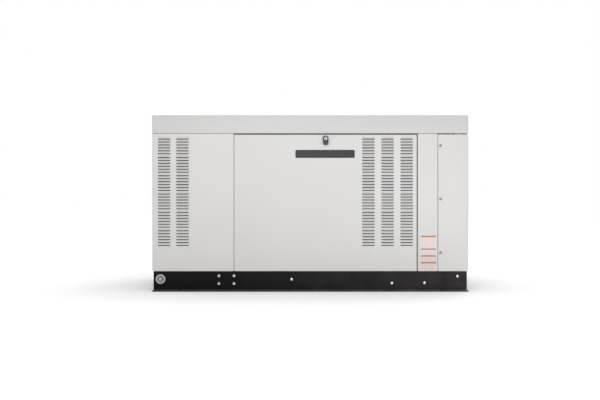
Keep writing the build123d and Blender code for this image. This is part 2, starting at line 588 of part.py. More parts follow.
FILLER_X, FILLER_TOP = 372.0, 580.0
with BuildPart() as valve_cover:
    block((76, 444), (-74, 74), (512, 568))
    fillet(valve_cover.edges().filter_by(Axis.Z), 16)
    fillet(valve_cover.faces().sort_by(Axis.Z)[-1].edges(), 12)
    offset(amount=-3, openings=valve_cover.faces().sort_by(Axis.Z)[0])
    block((84, 436), (-82, -70), (512, 518))
    block((84, 436), (70, 82), (512, 518))
    for y in (-36, -12, 12, 36):
        block((110, 330), (y - 2.5, y + 2.5), (565, 571))
    rod_z(FILLER_X, 0, (565, FILLER_TOP), 20)
    rod_z(FILLER_X, 0, (560, FILLER_TOP + 1), 15, mode=CUT)
write(valve_cover.part, "valve_cover")

with BuildPart() as oil_filler_cap:
    rod_z(FILLER_X, 0, (FILLER_TOP + 0.5, FILLER_TOP + 10), 25)
    block((FILLER_X - 22, FILLER_X + 22), (-5, 5), (FILLER_TOP + 9, FILLER_TOP + 22))
    fillet(oil_filler_cap.edges().filter_by(Axis.X).group_by(Axis.Z)[-1], 3)
    rod_z(FILLER_X, 0, (FILLER_TOP - 12, FILLER_TOP + 1), 15 - RUNNING_FIT)
write(oil_filler_cap.part, "oil_filler_cap")

with BuildPart() as oil_filter:
    rod_y(300, 275, (-222, -126.5), 44)
    fillet(oil_filter.edges().group_by(Axis.Y)[0], 10)
    rod_y(300, 275, (-134, -126.2), 47)
write(oil_filter.part, "oil_filter")

# Intake: plenum, four runners, and the throttle and gas mixer at its left end.
PLENUM_Y, PLENUM_Z = -192.0, 478.0
with BuildPart() as intake_manifold:
    rod_x(PLENUM_Y, PLENUM_Z, (104, 418), 32)
    fillet(intake_manifold.edges(), 8)
    for x in CYLINDERS:
        rod_y(x, PLENUM_Z, (PLENUM_Y, -94), 18)
        rod_y(x, PLENUM_Z, (-96, -88.3), 27)
    rod_x(PLENUM_Y, PLENUM_Z, (40, 105), 30)
    rod_x(PLENUM_Y, PLENUM_Z, (62, 70), 41)
    rod_x(PLENUM_Y, PLENUM_Z, (92, 100), 41)
    block((66, 96), (PLENUM_Y - 52, PLENUM_Y - 20), (PLENUM_Z - 20, PLENUM_Z + 20))
write(intake_manifold.part, "intake_manifold")

CLEANER_Y, CLEANER_Z = -185.0, 660.0
with BuildPart() as air_cleaner:
    rod_x(CLEANER_Y, CLEANER_Z, (-10, 215), 82)
    fillet(air_cleaner.edges(), 10)
    rod_x(CLEANER_Y, CLEANER_Z, (30, 38), 86)
    rod_x(CLEANER_Y, CLEANER_Z, (200, 230), 40)
    rod_x(CLEANER_Y, CLEANER_Z, (222, 232), 34, mode=CUT)
    with BuildSketch(Plane(origin=(39.5, PLENUM_Y, PLENUM_Z), z_dir=(-1, 0, 0))):
        Circle(31)
    with BuildLine():
        mouth, turn = (39.5, PLENUM_Y, PLENUM_Z), (-6, PLENUM_Y, PLENUM_Z)
        FilletPolyline(mouth, turn, (4, PLENUM_Y, 600), radius=36)
    sweep()
write(air_cleaner.part, "air_cleaner")

EXHAUST_Y, EXHAUST_Z = 150.0, 478.0
with BuildPart() as exhaust_manifold:
    rod_x(EXHAUST_Y, EXHAUST_Z, (100, 420), 27)
    fillet(exhaust_manifold.edges(), 10)
    for x in CYLINDERS:
        rod_y(x, EXHAUST_Z, (96, EXHAUST_Y), 19)
        block((x - 32, x + 32), (88.3, 98), (EXHAUST_Z - 25, EXHAUST_Z + 25))
    rod_y(265, EXHAUST_Z, (EXHAUST_Y, 186), 26)
    rod_y(265, EXHAUST_Z, (180, 188), 38)
write(exhaust_manifold.part, "exhaust_manifold")

# Exhaust pipe past the radiator, muffler across the discharge end, and tail pipe to the end louvres.
MUFFLER_X = 714.0
with BuildPart() as muffler:
    rod_y(MUFFLER_X, MUFFLER_Z, (-200, 200), 58)
    fillet(muffler.edges(), 8)
    for y in (-150, 150):
        rod_y(MUFFLER_X, MUFFLER_Z, (y - 12, y + 12), 60)
    rod_y(265, EXHAUST_Z, (188.5, 196), 38)
    add(
        pipe(
            [
                (265, 190, EXHAUST_Z),
                (265, 252, EXHAUST_Z),
                (345, EXHAUST_PIPE_Y, MUFFLER_Z),
                (MUFFLER_X, EXHAUST_PIPE_Y, MUFFLER_Z),
                (MUFFLER_X, 196, MUFFLER_Z),
            ],
            EXHAUST_PIPE_R,
            [30, 60, 44],
        )
    )
    add(
        pipe(
            [
                (MUFFLER_X, -196, MUFFLER_Z),
                (MUFFLER_X, -262, MUFFLER_Z),
                (MUFFLER_X, -262, 300),
                (770, -262, 300),
            ],
            EXHAUST_PIPE_R,
            [44, 30],
        )
    )
    rod_x(-262, 300, (742, 771), EXHAUST_PIPE_R - 2, mode=CUT)
write(muffler.part, "muffler")

with BuildPart() as starter_motor:
    rod_x(-168, 300, (70.3, 246), 38)
    fillet(starter_motor.edges().group_by(Axis.X)[-1], 6)
    rod_x(-168, 300, (70.3, 96), 42)
    rod_x(-200, 352, (84, 190), 22)
    rod_x(-200, 352, (190, 198), 18)
    for y in (-210, -190):
        rod_x(y, 352, (198, 214), 4)
    block((90, 130), (-212, -160), (300, 352))
write(starter_motor.part, "starter_motor")

def grooved_pulley(y, z, radius, bore, hub):
    """A pressed belt pulley on the belt's plane: two flanges and a groove."""
    with BuildPart() as pulley:
        rod_x(y, z, (BELT_X - 8, BELT_X + 8), radius)
        for x in (BELT_X - 9, BELT_X + 6.5):
            rod_x(y, z, (x, x + 2.5), radius + 6)
        rod_x(y, z, (BELT_X + 3, BELT_X + 10), radius - 10, mode=CUT)
        rod_x(y, z, (BELT_X - 8.5, BELT_X + 5), hub)
        rod_x(y, z, (BELT_X - 10, BELT_X + 15), bore, mode=CUT)
    return pulley.part


# Crankshaft with four throws, its belt pulley and the flywheel.
THROW, PIN_R, WEB_R = 38.0, 22.0, 66.0
with BuildPart() as crankshaft:
    rod_x(0, CRANK_Z, (38, BLOCK_X[1]), JOURNAL_R)
    for x, sense in zip(CYLINDERS, (1, -1, -1, 1)):
        rod_x(0, CRANK_Z, (x - 17, x + 17), JOURNAL_R + 1, mode=CUT)
        for web in (x - 27, x + 17):
            rod_x(0, CRANK_Z, (web, web + 10), WEB_R)
        rod_x(0, CRANK_Z + sense * THROW, (x - 17.5, x + 17.5), PIN_R)
    rod_x(0, CRANK_Z, (BLOCK_X[1] - 1, BELT_X + 14), NOSE_R)
    rod_x(0, CRANK_Z, (20, 40), 136)
    rod_x(0, CRANK_Z, (33, 41), 110, mode=CUT)
    rod_x(0, CRANK_Z, (32, 41), 44)
    add(grooved_pulley(0, CRANK_Z, CRANK_PULLEY_R, 14, 26))
    rod_x(0, CRANK_Z, (BELT_X + 3, BELT_X + 13), 24)
write(crankshaft.part, "crankshaft")


BELT_GAP, BELT_THICK, BELT_WIDTH = 0.4, 6.0, 12.0
PULLEYS = [
    (0, CRANK_Z, CRANK_PULLEY_R),
    (0, FAN_Z, FAN_PULLEY_R),
    (CHARGER_Y, CHARGER_Z, CHARGER_PULLEY_R),
]


def belt_loop(extra):
    """The taut outline round the three pulleys, held off their grooves by extra."""
    with BuildSketch() as wraps:
        for y, z, radius in PULLEYS:
            with Locations((y, z)):
                Circle(radius + extra)
    with BuildSketch() as loop:
        make_hull(wraps.sketch.edges())
    return loop.sketch


with BuildPart() as fan_belt:
    with BuildSketch(Plane.YZ.offset(BELT_X - BELT_WIDTH / 2)):
        add(belt_loop(BELT_GAP + BELT_THICK))
        add(belt_loop(BELT_GAP), mode=CUT)
    extrude(amount=BELT_WIDTH)
write(fan_belt.part, "fan_belt")

# Fan, its pulley and the shaft into the water pump.
FAN_X = (532.0, 562.0)
FAN_R, FAN_BLADES = 196.0, 7
with BuildPart() as fan:
    add(grooved_pulley(0, FAN_Z, FAN_PULLEY_R, 8, 30))
    rod_x(0, FAN_Z, (456, BELT_X + 4), PUMP_SHAFT_R)
    rod_x(0, FAN_Z, (BELT_X + 4, FAN_X[0] + 3), 26)
    rod_x(0, FAN_Z, (FAN_X[0] + 2, FAN_X[1] - 4), 52)
    with Locations(Plane.YZ.offset((FAN_X[0] + FAN_X[1]) / 2)):
        with Locations((0, FAN_Z)):
            with PolarLocations((FAN_R + 44) / 2, FAN_BLADES):
                Box(FAN_R - 46, 46, 3.2, rotation=(34, 0, 0))
write(fan.part, "fan")

with BuildPart() as charge_alternator:
    rod_x(CHARGER_Y, CHARGER_Z, (372, 462), 56)
    fillet(charge_alternator.edges(), 8)
    rod_x(CHARGER_Y, CHARGER_Z, (455, 476), 20)
    rod_x(CHARGER_Y, CHARGER_Z, (456, 477), 8.2 + RUNNING_FIT, mode=CUT)
    block((422, 434), (CHARGER_Y + 38, -124.2), (288, CHARGER_Z - 26))
    block((380, 388), (CHARGER_Y + 32, -94.3), (400, 412))
    with BuildSketch(Plane.YZ.offset(371)):
        with Locations((CHARGER_Y, CHARGER_Z)):
            with PolarLocations(34, 10):
                RectangleRounded(18, 7, 3)
    extrude(amount=10, mode=CUT)
write(charge_alternator.part, "charge_alternator")

with BuildPart() as charge_pulley:
    add(grooved_pulley(CHARGER_Y, CHARGER_Z, CHARGER_PULLEY_R, 8, 14))
    rod_x(CHARGER_Y, CHARGER_Z, (460, BELT_X + 12), 8.2)
    rod_x(CHARGER_Y, CHARGER_Z, (BELT_X + 5, BELT_X + 12), 12)
write(charge_pulley.part, "charge_pulley")

# Rubber mounts with their steel brackets, under the engine and the alternator.
MOUNT_HEIGHT = 26.0
with BuildPart() as rubber_mounts:
    for x in (130, 400):
        for side in (-1, 1):
            rod_z(x, side * 172, (CROSS_TOP, CROSS_TOP + MOUNT_HEIGHT), 24)
            top = CROSS_TOP + MOUNT_HEIGHT
            block((x - 30, x + 30), sorted((side * 124.5, side * 200)), (top, top + 7))
            block((x - 30, x + 30), sorted((side * 124.5, side * 131)), (top, 225 + 55))
    for side in (-1, 1):
        rod_z(-300, side * 118, (CROSS_TOP, CROSS_TOP + 18), 24)
write(rubber_mounts.part, "rubber_mounts")

# ---------------------------------------------------------------- alternator
with BuildPart() as alternator_housing:
    rod_x(0, CRANK_Z, (-400, 70), STATOR_R)
    rod_x(0, CRANK_Z, (-436, -399), STATOR_R - 14)
    fillet(alternator_housing.edges().group_by(Axis.X)[0], 10)
    rod_x(0, CRANK_Z, (0, 12), STATOR_R + 8)
    rod_x(0, CRANK_Z, (-425, 61), 148, mode=CUT)
    rod_x(0, CRANK_Z, (-398, 58), 157, mode=CUT)
    rod_x(0, CRANK_Z, (-330, -90), 157.5)
    rod_x(0, CRANK_Z, (-340, -80), 108, mode=CUT)
    rod_x(0, CRANK_Z, (-440, -405), 40)
    rod_x(0, CRANK_Z, (-446, -404), 22 + RUNNING_FIT, mode=CUT)
    rod_x(0, CRANK_Z, (60, 71), 60, mode=CUT)
    with BuildSketch(Plane.YZ.offset(-437)):
        with Locations((0, CRANK_Z)):
            with PolarLocations(92, 12):
                RectangleRounded(66, 22, 8)
    extrude(amount=14, mode=CUT)
    for side in (-1, 1):
        block((-330, -270), sorted((side * 90, side * 146)), (CROSS_TOP + 18, CROSS_TOP + 26))
        block((-330, -270), sorted((side * 104, side * 112)), (CROSS_TOP + 18, 155))
    block((-250, -110), (-20, 20), (CRANK_Z + STATOR_R - 6, CRANK_Z + STATOR_R + 2))
write(alternator_housing.part, "alternator_housing")

with BuildPart() as alternator_rotor:
    rod_x(0, CRANK_Z, (-444, 4), 22)
    rod_x(0, CRANK_Z, (-330, -90), 102)
    for x in (-352, -90):
        rod_x(0, CRANK_Z, (x, x + 22), 84)
    with BuildSketch(Plane.YZ.offset(-340)):
        with Locations((0, CRANK_Z)):
            with PolarLocations(100, 4):
                Rectangle(34, 46)
    extrude(amount=260, mode=CUT)
    rod_x(0, CRANK_Z, (-62, -40), 128)
    rod_x(0, CRANK_Z, (-63, -46), 96, mode=CUT)
    rod_x(0, CRANK_Z, (-68, -40), 30)
    rod_x(0, CRANK_Z, (3, 19.5), 108)
write(alternator_rotor.part, "alternator_rotor")

# ---------------------------------------------------------------- cooling
with BuildPart() as radiator_core:
    block(CORE_X, (-CORE_Y, CORE_Y), CORE_Z)
    for row in range(31):
        z = CORE_Z[0] + 8 + row * 16
        block((CORE_X[0] - 1, CORE_X[1] + 1), (-CORE_Y + 8, CORE_Y - 8), (z, z + 12.5), mode=CUT)
write(radiator_core.part, "radiator_core")

# Tanks, the side channels between them and the fan's shroud.
SHROUD_R = 212.0
with BuildPart() as radiator_frame:
    for low, high in ((CORE_Z[1], 716.0), (98.0, CORE_Z[0])):
        block((578, 646), (-CORE_Y, CORE_Y), (low, high))
    fillet(radiator_frame.edges().filter_by(Axis.Y), 12)
    for low, high in ((CORE_Z[1] + 3, 713.0), (101.0, CORE_Z[0] - 3)):
        block((581, 643), (-CORE_Y + 3, CORE_Y - 3), (low, high), mode=CUT)
    for side in (-1, 1):
        block((576, 639), sorted((side * CORE_Y, side * (CORE_Y + 4))), (112, 702))
    rod_z(612, -150, (712, 724), 22)
    rod_z(612, -150, (708, 725), 16, mode=CUT)
    block((572, 579), (-CORE_Y, CORE_Y), (CORE_Z[0] - 6, CORE_Z[1] + 6))
    rod_x(0, FAN_Z, (540, 577.5), SHROUD_R + 3)
    rod_x(0, FAN_Z, (540, 544), SHROUD_R + 8)
    rod_x(0, FAN_Z, (539, 580), SHROUD_R, mode=CUT)
write(radiator_frame.part, "radiator_frame")

with BuildPart() as radiator_cap:
    rod_z(612, -150, (724.5, 738), 25)
    chamfer(radiator_cap.edges().sort_by(Axis.Z)[-1], 3)
    block((580, 644), (-157, -143), (724.5, 732))
    rod_z(612, -150, (714, 725), 16 - RUNNING_FIT)
write(radiator_cap.part, "radiator_cap")

# Coolant hoses from the head to the top tank and from the bottom tank to the pump, and the fuel hose.
HOSE_R = 19.0
MIXER_X = 81.0
with BuildPart() as rubber_hoses:
    add(pipe([(460.3, 60, 485), (502, 60, 485), (502, 60, 690), (577.7, 60, 690)], HOSE_R, [26, 34]))
    add(pipe([(464, 114.3, 330), (464, 172, 330), (464, 172, 124), (577.7, 172, 124)], 17, [32, 45]))
    add(
        pipe(
            [
                (-512, 225, REGULATOR_Z),
                (-456, 225, REGULATOR_Z),
                (-446, -60, 520),
                (-420, -285, 400),
                (-20, -285, 400),
                (MIXER_X, -285, 425),
                (MIXER_X, -285, 478),
                (MIXER_X, -244.3, 478),
            ],
            10,
            [24, 60, 60, 60, 24, 16],
        )
    )
write(rubber_hoses.part, "rubber_hoses")

with BuildPart() as overflow_bottle:
    block((440, 522), (-308, -244), (540, 690))
    fillet(overflow_bottle.edges().filter_by(Axis.Z), 16)
    fillet(overflow_bottle.edges().group_by(Axis.Z)[0] + overflow_bottle.edges().group_by(Axis.Z)[-1], 8)
    rod_z(470, -276, (688, 702), 17)
    rod_z(470, -276, (700, 716), 23)
write(overflow_bottle.part, "overflow_bottle")

# ---------------------------------------------------------------- fuel regulator
with BuildPart() as fuel_regulator:
    rod_y(INLET_X, REGULATOR_Z, (216, 238), 74)
    rod_y(INLET_X, REGULATOR_Z, (224, 230), 80)
    rod_y(INLET_X, REGULATOR_Z, (196, 217), 40)
    rod_y(INLET_X, REGULATOR_Z, (180, 197), 16)
    rod_y(INLET_X, REGULATOR_Z, (237, 262), 34)
    rod_z(INLET_X, 250, (REGULATOR_Z - 75.5, REGULATOR_Z - 20), 17)
    rod_x(225, REGULATOR_Z, (INLET_X + 60, -512.5), 13)
write(fuel_regulator.part, "fuel_regulator")

# ---------------------------------------------------------------- battery
BATTERY_X, BATTERY_Y, BATTERY_Z = (-692.0, -484.0), (-292.0, -119.0), (101.0, 284.0)
TERMINALS = ((-660.0, -148.0), (-516.0, -148.0))
with BuildPart() as battery:
    block(BATTERY_X, BATTERY_Y, (BATTERY_Z[0], 262))
    fillet(battery.edges().filter_by(Axis.Z), 6)
    block(
        (BATTERY_X[0] + 2, BATTERY_X[1] - 2),
        (BATTERY_Y[0] + 2, BATTERY_Y[1] - 30),
        (260, BATTERY_Z[1]),
    )
    block((BATTERY_X[0] + 2, BATTERY_X[1] - 2), (BATTERY_Y[1] - 31, BATTERY_Y[1] - 2), (260, 266))
    fillet(battery.edges().group_by(Axis.Z)[-1], 3)
    block((-652, -524), (-262, -226), (BATTERY_Z[1] - 1, BATTERY_Z[1] + 4))
    for x, y in TERMINALS:
        rod_z(x, y + 13, (265, 283), 8)
write(battery.part, "battery")

with BuildPart() as battery_tray:
    block((-760, -440), (-302, -106), (98.2, 100.2))
    block((-444, -440), (-302, -106), (CROSS_TOP, 99))
    for y in (-302, -108):
        block((-704, -472), (y, y + 2), (99, 118))
    for x in (-702, -476):
        rod_z(x + 2, -196, (99, 304), 3)
    block((-708, -468), (-204, -188), (292, 298))
write(battery_tray.part, "battery_tray")

# Battery cables: positive to the starter's solenoid, negative to the starter's flange.
CABLE_R = 6.0
with BuildPart() as battery_cables:
    add(
        pipe(
            [
                (-516, -135, 283.3),
                (-516, -135, 318),
                (-462, -236, 318),
                (-440, -236, 128),
                (60, -236, 128),
                (222, -236, 230),
                (236, -210, 352),
                (214.3, -210, 352),
            ],
            CABLE_R,
            [14, 30, 40, 60, 50, 9],
        )
    )
    add(
        pipe(
            [
                (-660, -135, 283.3),
                (-660, -135, 330),
                (-470, -90, 330),
                (-440, -214, 240),
                (-425, -214, 110),
                (40, -214, 110),
                (110, -236, 300),
                (110, -212.3, 300),
            ],
            CABLE_R,
            [18, 40, 30, 40, 50, 12],
        )
    )
write(battery_cables.part, "battery_cables")

# ---------------------------------------------------------------- control cabinet
CABINET_X, CABINET_Y, CABINET_Z = (-350.0, -60.0), (-282.0, 40.0), (448.0, 772.0)
FASCIA_Y = (-285.0, -282.2)
with BuildPart() as control_cabinet:
    block(CABINET_X, CABINET_Y, CABINET_Z)
    offset(amount=-2, openings=control_cabinet.faces().sort_by(Axis.Y)[0])
    for x in (-330, -100):
        block((x, x + 24), (-60, 60), (CRANK_Z + STATOR_R + 0.3, CABINET_Z[0]))
write(control_cabinet.part, "control_cabinet")

STOP_X, STOP_Z, STOP_STEM_R = -300.0, 560.0, 8.4
SWITCH_X, SWITCH_Z, SWITCH_STEM_R = -215.0, 560.0, 5.5
BREAKER_X, BREAKER_Z = (-150.0, -76.0), (520.0, 700.0)
with BuildPart() as control_fascia:
    block(CABINET_X, FASCIA_Y, CABINET_Z)
    fillet(control_fascia.edges().filter_by(Axis.Y), 6)
    block((-336, -170), (FASCIA_Y[0] - 14, FASCIA_Y[0] + 1), (612, 756))
    chamfer(control_fascia.faces().sort_by(Axis.Y)[0].edges(), 4)
    block((-312, -214), (FASCIA_Y[0] - 15, FASCIA_Y[0] - 11), (680, 738), mode=CUT)
    for x in (-304, -262, -220):
        with Locations((x, FASCIA_Y[0] - 14, 644)):
            Box(26, 3, 18)
    through = (FASCIA_Y[0] - 8, FASCIA_Y[1] + 1)
    rod_y(STOP_X, STOP_Z, (FASCIA_Y[0] - 6, FASCIA_Y[0] + 1), 22)
    rod_y(STOP_X, STOP_Z, through, STOP_STEM_R + RUNNING_FIT, mode=CUT)
    rod_y(SWITCH_X, SWITCH_Z, (FASCIA_Y[0] - 3, FASCIA_Y[0] + 1), 20)
    rod_y(SWITCH_X, SWITCH_Z, through, SWITCH_STEM_R + RUNNING_FIT, mode=CUT)
    block(BREAKER_X, (FASCIA_Y[0] - 1, FASCIA_Y[1] + 1), BREAKER_Z, mode=CUT)
write(control_fascia.part, "control_fascia")

with BuildPart() as e_stop:
    rod_y(STOP_X, STOP_Z, (FASCIA_Y[0] - 26, FASCIA_Y[0] - 14), 20)
    fillet(e_stop.edges().group_by(Axis.Y)[0], 5)
    rod_y(STOP_X, STOP_Z, (FASCIA_Y[0] - 15, -270), STOP_STEM_R)
write(e_stop.part, "e_stop")

with BuildPart() as mode_switch:
    rod_y(SWITCH_X, SWITCH_Z, (FASCIA_Y[0] - 14, FASCIA_Y[0] - 3.5), 16)
    grip_z = (SWITCH_Z - 16, SWITCH_Z + 16)
    block((SWITCH_X - 4, SWITCH_X + 4), (FASCIA_Y[0] - 22, FASCIA_Y[0] - 12), grip_z)
    fillet(mode_switch.edges().group_by(Axis.Y)[0], 1.5)
    rod_y(SWITCH_X, SWITCH_Z, (FASCIA_Y[0] - 4, -270), SWITCH_STEM_R)
write(mode_switch.part, "mode_switch")

# Main breaker: a moulded case behind the fascia's window, with a slot for its lever.
LEVER_X, LEVER_Z, LEVER_Y, LEVER_DRUM_R = -113.0, 610.0, -262.0, 16.0
LEVER_OFF_ANGLE = 28.0  # the lever points down this far when off, and up as far when on
with BuildPart() as main_breaker:
    case_x, case_z = (BREAKER_X[0] + 0.5, BREAKER_X[1] - 0.5), (BREAKER_Z[0] + 0.5, BREAKER_Z[1] - 0.5)
    block(case_x, (-292, -200), case_z)
    fillet(main_breaker.faces().sort_by(Axis.Y)[0].edges(), 2)
    block((BREAKER_X[0] + 12, BREAKER_X[1] - 12), (-296, -291), (570, 650))
    block((LEVER_X - 10, LEVER_X + 10), (-297, -244), (580, 640), mode=CUT)
    rod_x(LEVER_Y, LEVER_Z, (LEVER_X - 10, LEVER_X + 10), LEVER_DRUM_R + RUNNING_FIT, mode=CUT)
write(main_breaker.part, "main_breaker")

with BuildPart() as breaker_lever:
    rod_x(LEVER_Y, LEVER_Z, (LEVER_X - 9, LEVER_X + 9), LEVER_DRUM_R)
    with Locations(Location((LEVER_X, LEVER_Y, LEVER_Z), (LEVER_OFF_ANGLE, 0, 0))):
        Box(14, 46, 10, align=(Align.CENTER, Align.MAX, Align.CENTER))
    fillet(breaker_lever.edges().sort_by(Axis.Y)[:2], 2)
write(breaker_lever.part, "breaker_lever")
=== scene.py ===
"""Looks of a home standby generator: enclosure, base, latch and engine bay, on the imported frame."""

import logging
import math
from dataclasses import dataclass, field
from enum import Enum
from typing import Any, Iterable, Sequence

import bmesh
import bpy
from mathutils import Matrix, Vector


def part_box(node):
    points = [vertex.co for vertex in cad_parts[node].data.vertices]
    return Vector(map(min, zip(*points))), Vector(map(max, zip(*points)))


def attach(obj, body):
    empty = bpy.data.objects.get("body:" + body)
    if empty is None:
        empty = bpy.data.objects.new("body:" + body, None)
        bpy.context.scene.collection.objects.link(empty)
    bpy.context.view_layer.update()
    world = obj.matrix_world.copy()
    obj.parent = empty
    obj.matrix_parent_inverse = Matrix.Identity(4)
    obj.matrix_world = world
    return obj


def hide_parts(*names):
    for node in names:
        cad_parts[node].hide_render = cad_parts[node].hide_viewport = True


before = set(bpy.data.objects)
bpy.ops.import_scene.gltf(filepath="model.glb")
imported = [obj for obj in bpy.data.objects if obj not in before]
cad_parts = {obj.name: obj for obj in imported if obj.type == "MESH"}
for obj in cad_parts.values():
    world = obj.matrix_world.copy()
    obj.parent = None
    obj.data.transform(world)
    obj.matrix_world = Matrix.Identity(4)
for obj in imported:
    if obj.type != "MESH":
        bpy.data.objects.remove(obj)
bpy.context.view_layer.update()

MM = 0.001
log = logging.getLogger("generator")

Point = tuple[float, float, float]
Socket = bpy.types.NodeSocket


# ---------------------------------------------------------------- finishes
def linear(code: str) -> tuple[float, float, float, float]:
    """Turns an sRGB hex colour into linear RGBA.

    Args:
        code: the colour as "#rrggbb".

    Returns:
        Linear red, green and blue, with an alpha of 1.
    """
    channels = [int(code[i : i + 2], 16) / 255 for i in (1, 3, 5)]
    red, green, blue = (c / 12.92 if c <= 0.04045 else ((c + 0.055) / 1.055) ** 2.4 for c in channels)
    return red, green, blue, 1.0


def per_mm(size: float) -> float:
    """Texture scale whose features are about size millimetres across."""
    return 1.0 / (size * MM)


def add_node(
    tree: bpy.types.NodeTree, kind: str, inputs: dict[Any, Any] | None = None, **settings: Any
) -> bpy.types.Node:
    """Adds a shader node with its settings, values and links.

    Args:
        tree: the node tree that it joins.
        kind: the node's type name.
        inputs: a value, or an output socket to link, for each input socket by name or index.
        **settings: the node's own properties.

    Returns:
        The new node.
    """
    node = tree.nodes.new(kind)
    for name, value in settings.items():
        setattr(node, name, value)
    for socket, value in (inputs or {}).items():
        if isinstance(value, bpy.types.NodeSocket):
            tree.links.new(value, node.inputs[socket])
        else:
            node.inputs[socket].default_value = value
    return node


@dataclass(frozen=True)
class Finish:
    """A surface finish, made into one node material.

    Attributes:
        name: what the finish is called in a workshop.
        colour: its main colour, sRGB hex.
    """

    name: str
    colour: str

    def material(self) -> bpy.types.Material:
        """The finish's material, made the first time that it is asked for.

        Returns:
            The material, made once and shared by every piece that uses it.
        """
        known = bpy.data.materials.get(self.name)
        if known:
            return known
        made = bpy.data.materials.new(self.name)
        made.use_nodes = True
        made.diffuse_color = linear(self.colour)
        made.node_tree.nodes.clear()
        place = add_node(made.node_tree, "ShaderNodeTexCoord").outputs["Object"]
        shader = self.shade(made.node_tree, place)
        add_node(made.node_tree, "ShaderNodeOutputMaterial", {"Surface": shader.outputs[0]})
        return made

    def shade(self, tree: bpy.types.NodeTree, place: Socket) -> bpy.types.Node:
        """Adds the finish's nodes.

        Args:
            tree: the material's nodes.
            place: the position on the piece.

        Returns:
            The shader node.
        """
        raise NotImplementedError

    def blotch(self, tree: bpy.types.NodeTree, place: Socket, size: float, low: float, high: float) -> Socket:
        """A slow variation between two numbers, in patches.

        Args:
            tree: the material's nodes.
            place: the position on the piece.
            size: how large the patches are, in millimetres.
            low: the least value.
            high: the greatest value.

        Returns:
            The value's socket.
        """
        noise = add_node(tree, "ShaderNodeTexNoise", {"Vector": place, "Scale": per_mm(size), "Detail": 4.0})
        patches = {"Value": noise.outputs["Fac"], "From Min": 0.3, "From Max": 0.7}
        spread = patches | {"To Min": low, "To Max": high}
        return add_node(tree, "ShaderNodeMapRange", spread).outputs["Result"]

    def tinted(self, tree: bpy.types.NodeTree, amount: Socket, other: str) -> Socket:
        """The main colour mixed towards another.

        Args:
            tree: the material's nodes.
            amount: how much of the other colour, 0 to 1.
            other: the other colour, sRGB hex.

        Returns:
            The mixed colour's socket.
        """
        colours = {"Factor": amount, "A": linear(self.colour), "B": linear(other)}
        mix = add_node(tree, "ShaderNodeMix", data_type="RGBA")
        for socket in mix.inputs:
            if socket.name == "Factor" and socket.type == "VALUE":
                tree.links.new(colours["Factor"], socket)
            elif socket.name in ("A", "B") and socket.type == "RGBA":
                socket.default_value = colours[socket.name]
        return next(s for s in mix.outputs if s.type == "RGBA")

    def upward_share(self, tree: bpy.types.NodeTree, least: float, most: float) -> Socket:
        """How much a surface faces up: where dust settles, and on the chassis enamel a painted highlight as
        well.

        Args:
            tree: the material's nodes.
            least: the least upward slope that counts.
            most: the share on a level surface.

        Returns:
            The dust's socket.
        """
        facing = add_node(tree, "ShaderNodeNewGeometry").outputs["Normal"]
        up = add_node(tree, "ShaderNodeSeparateXYZ", {"Vector": facing}).outputs["Z"]
        # the up-facing share: dust, and on the chassis enamel a painted highlight too
        dust = {"Value": up, "From Min": least, "From Max": 1.0, "To Min": 0.0, "To Max": most}
        return add_node(tree, "ShaderNodeMapRange", dust).outputs["Result"]

    def bump(self, tree: bpy.types.NodeTree, height: Socket, depth: float, strength: float = 1.0) -> Socket:
        """A bump's normal.

        Args:
            tree: the material's nodes.
            height: the relief, 0 to 1.
            depth: how deep the relief is, in millimetres.
            strength: how much of it shows.

        Returns:
            The normal's socket.
        """
        relief = {"Height": height, "Distance": depth * MM, "Strength": strength}
        return add_node(tree, "ShaderNodeBump", relief).outputs["Normal"]


@dataclass(frozen=True)
class PowderCoat(Finish):
    """Fine-texture polyester powder baked on steel: a soft sheen, broken up by a very fine leathery grain.

    Attributes:
        grain: the texture's pitch in millimetres, drawn three times coarser than it is so that it shows.
        dust: the colour of what settles on it.
        roughness: the sheen at its glossiest.
    """

    grain: float = 2.4
    dust: str = "#b9b4a8"
    roughness: float = 0.42

    def shade(self, tree: bpy.types.NodeTree, place: Socket) -> bpy.types.Node:
        """Fine relief, uneven gloss, and dust where a surface faces up.

        Args:
            tree: the material's nodes.
            place: the position on the piece.

        Returns:
            The shader node.
        """
        pebbles = {"Vector": place, "Scale": per_mm(self.grain), "Detail": 3.0}
        grain = add_node(tree, "ShaderNodeTexNoise", pebbles)
        facing_up = self.upward_share(tree, 0.25, 0.55)
        patches = self.blotch(tree, place, 160.0, 0.02, 0.32)
        cover = add_node(tree, "ShaderNodeMath", {0: facing_up, 1: patches}, operation="MULTIPLY").outputs[0]
        cloud = self.blotch(tree, place, 420.0, 0.0, 0.10)
        amount = add_node(tree, "ShaderNodeMath", {0: cover, 1: cloud}, operation="ADD").outputs[0]
        look = {
            "Base Color": self.tinted(tree, amount, self.dust),
            "Roughness": self.blotch(tree, place, 60.0, self.roughness, self.roughness + 0.10),
            "Normal": self.bump(tree, grain.outputs["Fac"], 0.10),
            "Coat Weight": 0.08,
            "Coat Roughness": 0.35,
        }
        return add_node(tree, "ShaderNodeBsdfPrincipled", look)


